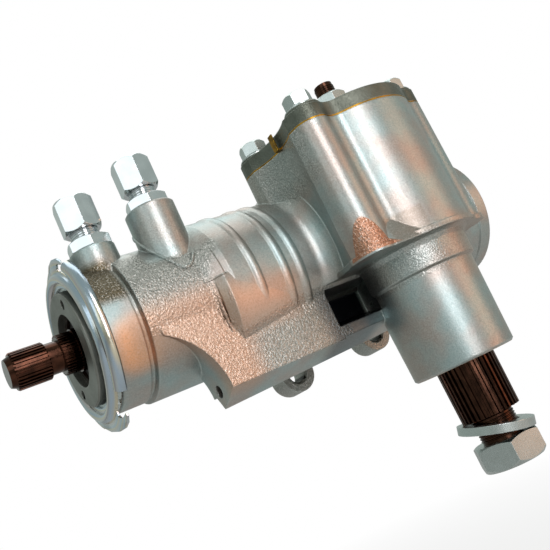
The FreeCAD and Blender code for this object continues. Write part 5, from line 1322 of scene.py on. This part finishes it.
@dataclass
class ShieldRetainer(SubAssembly):
    """Pressed ring that holds the column shield: full inner bead, open outer bead, two hooks.

    Lengths are in millimetres. Outlines are pairs of radius and angle round the worm axis, and
    angles are in degrees.
    """

    sheet: float = 1.2
    face_x: float = -122.2
    bore_radius: float = 31.4
    inner_bead: float = 36.4
    inner_half_width: float = 2.6
    inner_rise: float = 2.34
    inner_steps: int = 8
    foot_radius: float = 39.6
    foot_drop: float = 0.6
    outer_bead: float = 43.0
    outer_half_width: float = 3.4
    outer_base_x: float = -119.4
    outer_rise: float = 3.8
    outer_steps: int = 10
    outer_span: Pair = (128.0, 224.0)
    rim_x: float = -121.4
    rim_inset: float = 0.08
    rim_radii: Pair = (38.4, 43.4)
    rim_span: Pair = (-66.0, 88.0)
    sweep_step: float = 2.5
    fewest_sweep_steps: int = 24
    hook_edge: float = 0.35
    upper_hook: tuple[Pair, ...] = (
        (39.0, 80.0), (43.4, 84.0), (45.2, 92.0), (46.2, 102.0),
        (46.2, 112.0), (45.4, 119.0), (44.0, 122.0), (43.2, 119.0),
        (43.4, 114.0), (42.6, 110.0), (40.6, 108.0), (38.8, 109.0),
    )
    lower_hook: tuple[Pair, ...] = (
        (39.0, -60.0), (43.4, -62.0), (44.0, -80.0), (46.2, -97.0),
        (49.3, -110.0), (51.0, -118.0), (50.6, -123.0), (49.0, -123.5),
        (46.6, -116.5), (44.2, -111.5), (41.8, -109.5), (38.8, -110.5),
    )

    def at(self, x: float, radius: float, angle: float) -> Vector:
        """Point round the worm axis.

        Args:
            x: Place along the axis, in millimetres.
            radius: Distance from the axis.
            angle: Angle from Y towards Z, in degrees.

        Returns:
            The point, in metres.
        """
        turn = math.radians(angle)
        across, up = radius * math.cos(turn), radius * math.sin(turn)
        return Vector((x, WORM_AXIS_Y + across, WORM_AXIS_Z + up)) * MM

    def build(self) -> None:
        """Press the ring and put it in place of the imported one."""
        shape = bmesh.new()
        crest = self.arch(
            self.face_x, self.inner_bead, self.inner_rise, self.inner_half_width, self.inner_steps
        )
        foot = (self.face_x + self.foot_drop, self.foot_radius)
        self.sweep(shape, self.skin([(self.face_x, self.bore_radius), *crest, foot]), 0.0, 360.0)
        crest = self.arch(
            self.outer_base_x,
            self.outer_bead,
            self.outer_rise,
            self.outer_half_width,
            self.outer_steps,
        )
        self.sweep(shape, self.skin(crest), *self.outer_span)
        low, high = self.rim_radii
        front, rear = self.rim_x + self.rim_inset, self.rim_x + self.sheet - self.rim_inset
        self.sweep(shape, [(front, low), (front, high), (rear, high), (rear, low)], *self.rim_span)
        for outline in (self.upper_hook, self.lower_hook):
            self.plate(shape, outline)
        piece = self.keep("pressed_shield_retainer", shape, RETAINER_ZINC, "plated_steel")
        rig.replaces(piece, "shield_retainer")

    def arch(
        self, base_x: float, middle: float, rise: float, half_width: float, steps: int
    ) -> list[Pair]:
        """Half round of a bead's outer face.

        Args:
            base_x: Place of both feet along X.
            middle: Radius of the crest.
            rise: How far the crest stands out.
            half_width: Half of the bead's width.
            steps: Number of straight steps.

        Returns:
            Pairs of x and radius, from the inner foot to the outer one.
        """
        turns = [math.pi * step / steps for step in range(steps + 1)]
        return [(base_x - rise * math.sin(t), middle - half_width * math.cos(t)) for t in turns]

    def skin(self, line: list[Pair]) -> list[Pair]:
        """Section of the sheet whose outer face follows a line.

        Args:
            line: Pairs of x and radius along the outer face.

        Returns:
            Closed outline of the section.
        """
        return line + [(x + self.sheet, radius) for x, radius in reversed(line)]

    def sweep(self, shape: Shape, section: list[Pair], start: float, end: float) -> None:
        """Turn a section round the worm axis.

        Args:
            shape: Mesh that gets the swept part.
            section: Outline as pairs of x and radius.
            start: Angle of the first end, in degrees.
            end: Angle of the last end. A full turn closes on itself.
        """
        full = end - start >= 360.0
        ring = [shape.verts.new(self.at(x, radius, start)) for x, radius in section]
        face = shape.faces.new(ring)
        geom = [face]
        if full:
            geom = [*face.edges, *ring]
            shape.faces.remove(face)
        bmesh.ops.spin(
            shape,
            geom=geom,
            cent=self.at(0.0, 0.0, 0.0),
            axis=(1.0, 0.0, 0.0),
            angle=math.radians(end - start),
            steps=max(self.fewest_sweep_steps, round((end - start) / self.sweep_step)),
            use_merge=full,
            use_duplicate=False,
        )

    def plate(self, shape: Shape, outline: tuple[Pair, ...]) -> None:
        """Add one flat hook with softened edges.

        Args:
            shape: Mesh that gets the hook.
            outline: Corners as pairs of radius and angle.
        """
        corners = [shape.verts.new(self.at(self.rim_x, radius, angle)) for radius, angle in outline]
        face = shape.faces.new(corners)
        raised = bmesh.ops.extrude_face_region(shape, geom=[face], use_keep_orig=True)
        moved = [item for item in raised["geom"] if isinstance(item, bmesh.types.BMVert)]
        bmesh.ops.translate(shape, vec=(self.sheet * MM, 0.0, 0.0), verts=moved)
        bmesh.ops.bevel(
            shape,
            geom=list(face.edges),
            offset=self.hook_edge * MM,
            offset_type="OFFSET",
            affect="EDGES",
            segments=2,
            profile=0.5,
            material=-1,
        )


@dataclass
class StubShaft(SubAssembly):
    """Stub shaft, torsion bar and spool."""

    def build(self) -> None:
        """Dress the turning pieces of the input."""
        self.dress(OILED_STEEL, "input_shaft")
        self.dress(GROUND_STEEL, "torsion_bar", "spool_valve")


@dataclass
class WormGroup(SubAssembly):
    """Worm with the valve body that it carries."""

    def build(self) -> None:
        """Dress the worm and the valve body."""
        self.dress(GROUND_STEEL, "worm_shaft", "valve_body")
        self.dress(RING_POLYMER, "valve_rings")


@dataclass
class RackGroup(SubAssembly):
    """Rack piston with its balls and return guide."""

    def build(self) -> None:
        """Dress the rack piston and what it carries."""
        self.dress(DARK_PHOSPHATE, "rack_piston", "rack_end_plug")
        self.dress(GROUND_STEEL, "recirculating_balls")
        self.dress(BRIGHT_ZINC, "ball_return_guide", "ball_guide_clamp")
        self.dress(RING_POLYMER, "piston_ring")


@dataclass
class InnerFixed(SubAssembly):
    """Bearings, seals and rings that stay with the housing."""

    def build(self) -> None:
        """Dress the fixed inner pieces and the end plug."""
        self.dress(
            GROUND_STEEL, "sector_upper_bushing", "sector_needle_bearing", "sector_backup_washer"
        )
        self.dress(SEAL_RUBBER, "sector_shaft_seals", "end_plug_oring")
        self.dress(OILED_SECTOR_STEEL, "sector_retaining_ring", "end_retaining_ring")
        self.dress(COVER_ZINC, "end_plug")


@dataclass(frozen=True)
class SoftBox:
    """Soft lamp that faces the gearbox: where it hangs, its size in metres, brightness and tint."""

    name: str
    direction: Point
    distance: float
    size: Pair
    brightness: float
    tint: str


@dataclass
class Studio:
    """Floor, soft lamps, pale surroundings and the camera.

    The camera is given in millimetres, degrees and pixels. Its clip range, the floor and the
    floor's fade are in metres.
    """

    target: Point = (-2.461395, -45.0, 54.787534)
    azimuth: float = -30.645658
    elevation: float = -10.608093
    roll: float = -25.453558
    distance: float = 432.0
    focal_pixels: float = 750.82244
    image_pixels: float = 550.0
    sensor: float = 36.0
    clip: Pair = (0.01, 60.0)
    floor_drop: float = 0.21
    floor_half: float = 4.0
    floor_tint: str = "#CDD1CE"
    floor_roughness: float = 0.8
    floor_fade: Pair = (0.22, 0.7)
    floor_white: Pair = (0.66, 1.0)
    wall_tint: str = "#B7C1BC"
    fill_strength: float = 0.45
    lamps: tuple[SoftBox, ...] = (
        SoftBox("strip_lamp", (-0.10, -0.95, 0.30), 0.9, (0.30, 0.9), 5.6, "#FFF8FC"),
        SoftBox("top_lamp", (0.25, 0.25, 0.93), 0.9, (0.9, 0.9), 1.5, "#FFFFFF"),
        SoftBox("front_lamp", (-0.73, -0.59, 0.36), 0.9, (0.42, 0.42), 1.2, "#F6FAFF"),
        SoftBox("warm_lamp", (0.68, -0.70, 0.05), 0.9, (0.46, 0.6), 1.5, "#FFBA92"),
    )

    def build(self) -> None:
        """Set up everything round the gearbox."""
        self.add_camera()
        self.add_surroundings()
        self.add_floor()
        for lamp in self.lamps:
            self.add_lamp(lamp)
        bpy.context.scene.view_settings.view_transform = "Standard"

    def add_camera(self) -> None:
        """Stand the camera where the photograph was taken from."""
        turn, rise, lean = (math.radians(a) for a in (self.azimuth, self.elevation, self.roll))
        flat = math.cos(rise)
        back = Vector((math.sin(turn) * flat, -math.cos(turn) * flat, math.sin(rise)))
        level = Vector((math.cos(turn), math.sin(turn), 0.0))
        upright = back.cross(level)
        right = level * math.cos(lean) + upright * math.sin(lean)
        up = -level * math.sin(lean) + upright * math.cos(lean)
        data = bpy.data.cameras.new("camera")
        data.sensor_fit = "HORIZONTAL"
        data.sensor_width = self.sensor
        data.lens = self.focal_pixels / self.image_pixels * self.sensor
        data.clip_start, data.clip_end = self.clip
        camera = bpy.data.objects.new("camera", data)
        bpy.context.scene.collection.objects.link(camera)
        place = Matrix((right, up, back)).transposed().to_4x4()
        place.translation = (Vector(self.target) + back * self.distance) * MM
        camera.matrix_world = place
        bpy.context.scene.camera = camera

    def add_surroundings(self) -> None:
        """Fill light for dull surfaces, a pale wall for bright ones and white behind them all."""
        world = bpy.data.worlds.new("studio")
        bpy.context.scene.world = world
        world.use_nodes = True
        tree = world.node_tree
        tree.nodes.clear()
        path = add_node(tree, "ShaderNodeLightPath")
        wall = add_node(
            tree,
            "ShaderNodeMix",
            {SHARE: path.outputs["Is Glossy Ray"], UNDER: WHITE, OVER: linear(self.wall_tint)},
            data_type="RGBA",
        )
        shown = path.outputs["Is Camera Ray"]
        for ray in ("Is Glossy Ray", "Is Transmission Ray"):
            shown = add_node(
                tree, "ShaderNodeMath", {0: shown, 1: path.outputs[ray]}, operation="MAXIMUM"
            ).outputs[0]
        fill = add_node(
            tree, "ShaderNodeBackground", {"Color": WHITE, "Strength": self.fill_strength}
        )
        backdrop = add_node(
            tree, "ShaderNodeBackground", {"Color": wall.outputs[MIXED], "Strength": 1.0}
        )
        both = add_node(
            tree, "ShaderNodeMixShader", {0: shown, 1: fill.outputs[0], 2: backdrop.outputs[0]}
        )
        add_node(tree, "ShaderNodeOutputWorld", {"Surface": both.outputs[0]})

    def add_floor(self) -> None:
        """Lay a plain pale floor that whitens away from the gearbox and keeps its shadow."""
        shape = bmesh.new()
        bmesh.ops.create_grid(shape, x_segments=1, y_segments=1, size=self.floor_half)
        bmesh.ops.translate(shape, vec=(0.0, 0.0, -self.floor_drop), verts=shape.verts[:])
        mesh = bpy.data.meshes.new("floor")
        shape.to_mesh(mesh)
        shape.free()
        material, tree, shader = new_material("pale_painted_floor")
        shader.inputs["Base Color"].default_value = linear(self.floor_tint)
        shader.inputs["Roughness"].default_value = self.floor_roughness
        path = add_node(tree, "ShaderNodeLightPath")
        place = add_node(tree, "ShaderNodeTexCoord")
        reach = add_node(
            tree, "ShaderNodeVectorMath", {0: place.outputs["Object"]}, operation="LENGTH"
        )
        (near, far), (dimmest, full) = self.floor_fade, self.floor_white
        share = add_node(
            tree,
            "ShaderNodeMapRange",
            {
                "Value": reach.outputs["Value"],
                "From Min": near,
                "From Max": far,
                "To Min": dimmest,
                "To Max": full,
            },
        )
        whiten = add_node(
            tree,
            "ShaderNodeMath",
            {0: share.outputs[0], 1: path.outputs["Is Camera Ray"]},
            operation="MULTIPLY",
        )
        white = add_node(tree, "ShaderNodeEmission", {"Color": WHITE, "Strength": 1.0})
        both = add_node(
            tree,
            "ShaderNodeMixShader",
            {0: whiten.outputs[0], 1: shader.outputs["BSDF"], 2: white.outputs[0]},
        )
        output = next(n for n in tree.nodes if n.bl_idname == "ShaderNodeOutputMaterial")
        tree.links.new(both.outputs[0], output.inputs["Surface"])
        mesh.materials.append(material)
        floor = bpy.data.objects.new("floor", mesh)
        bpy.context.scene.collection.objects.link(floor)
        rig.stage(floor)

    def add_lamp(self, lamp: SoftBox) -> None:
        """Hang one soft lamp.

        Args:
            lamp: Its place, size and brightness.
        """
        data = bpy.data.lights.new(lamp.name, "AREA")
        data.shape = "RECTANGLE"
        data.size, data.size_y = lamp.size
        data.energy = lamp.brightness * math.pi * lamp.size[0] * lamp.size[1]
        data.color = linear(lamp.tint)[:3]
        away = Vector(lamp.direction).normalized()
        source = bpy.data.objects.new(lamp.name, data)
        bpy.context.scene.collection.objects.link(source)
        source.location = Vector(self.target) * MM + away * lamp.distance
        source.rotation_mode = "QUATERNION"
        source.rotation_quaternion = away.to_track_quat("Z", "Y")
        source.visible_camera = False


@dataclass
class SizeNote:
    """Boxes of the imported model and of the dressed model, in metres."""

    path: str = "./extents.json"
    packed: list[list[float]] = field(default_factory=list)

    def measure(self) -> list[list[float]]:
        """Return the lowest and highest corner of what is shown."""
        return [list(corner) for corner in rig.bounds()]

    def write(self) -> None:
        """Write both boxes as plain lists."""
        with open(self.path, "w") as out:
            json.dump({"packed": self.packed, "dressed": self.measure()}, out)


def main() -> None:
    """Build the sub-assemblies and the studio in order."""
    logging.basicConfig(level=logging.INFO, format="%(name)s: %(message)s")
    sizes = SizeNote()
    sizes.packed = sizes.measure()
    Studio().build()
    groups: tuple[SubAssembly, ...] = (
        Casting("housing"),
        PortFittings("housing"),
        CoverGroup("housing"),
        InputEnd("housing"),
        ShieldRetainer("housing"),
        InnerFixed("housing"),
        SectorOutput("sector"),
        StubShaft("input"),
        WormGroup("worm"),
        RackGroup("rack"),
    )
    for group in groups:
        group.build()
    sizes.write()


if __name__ == "__main__":
    main()
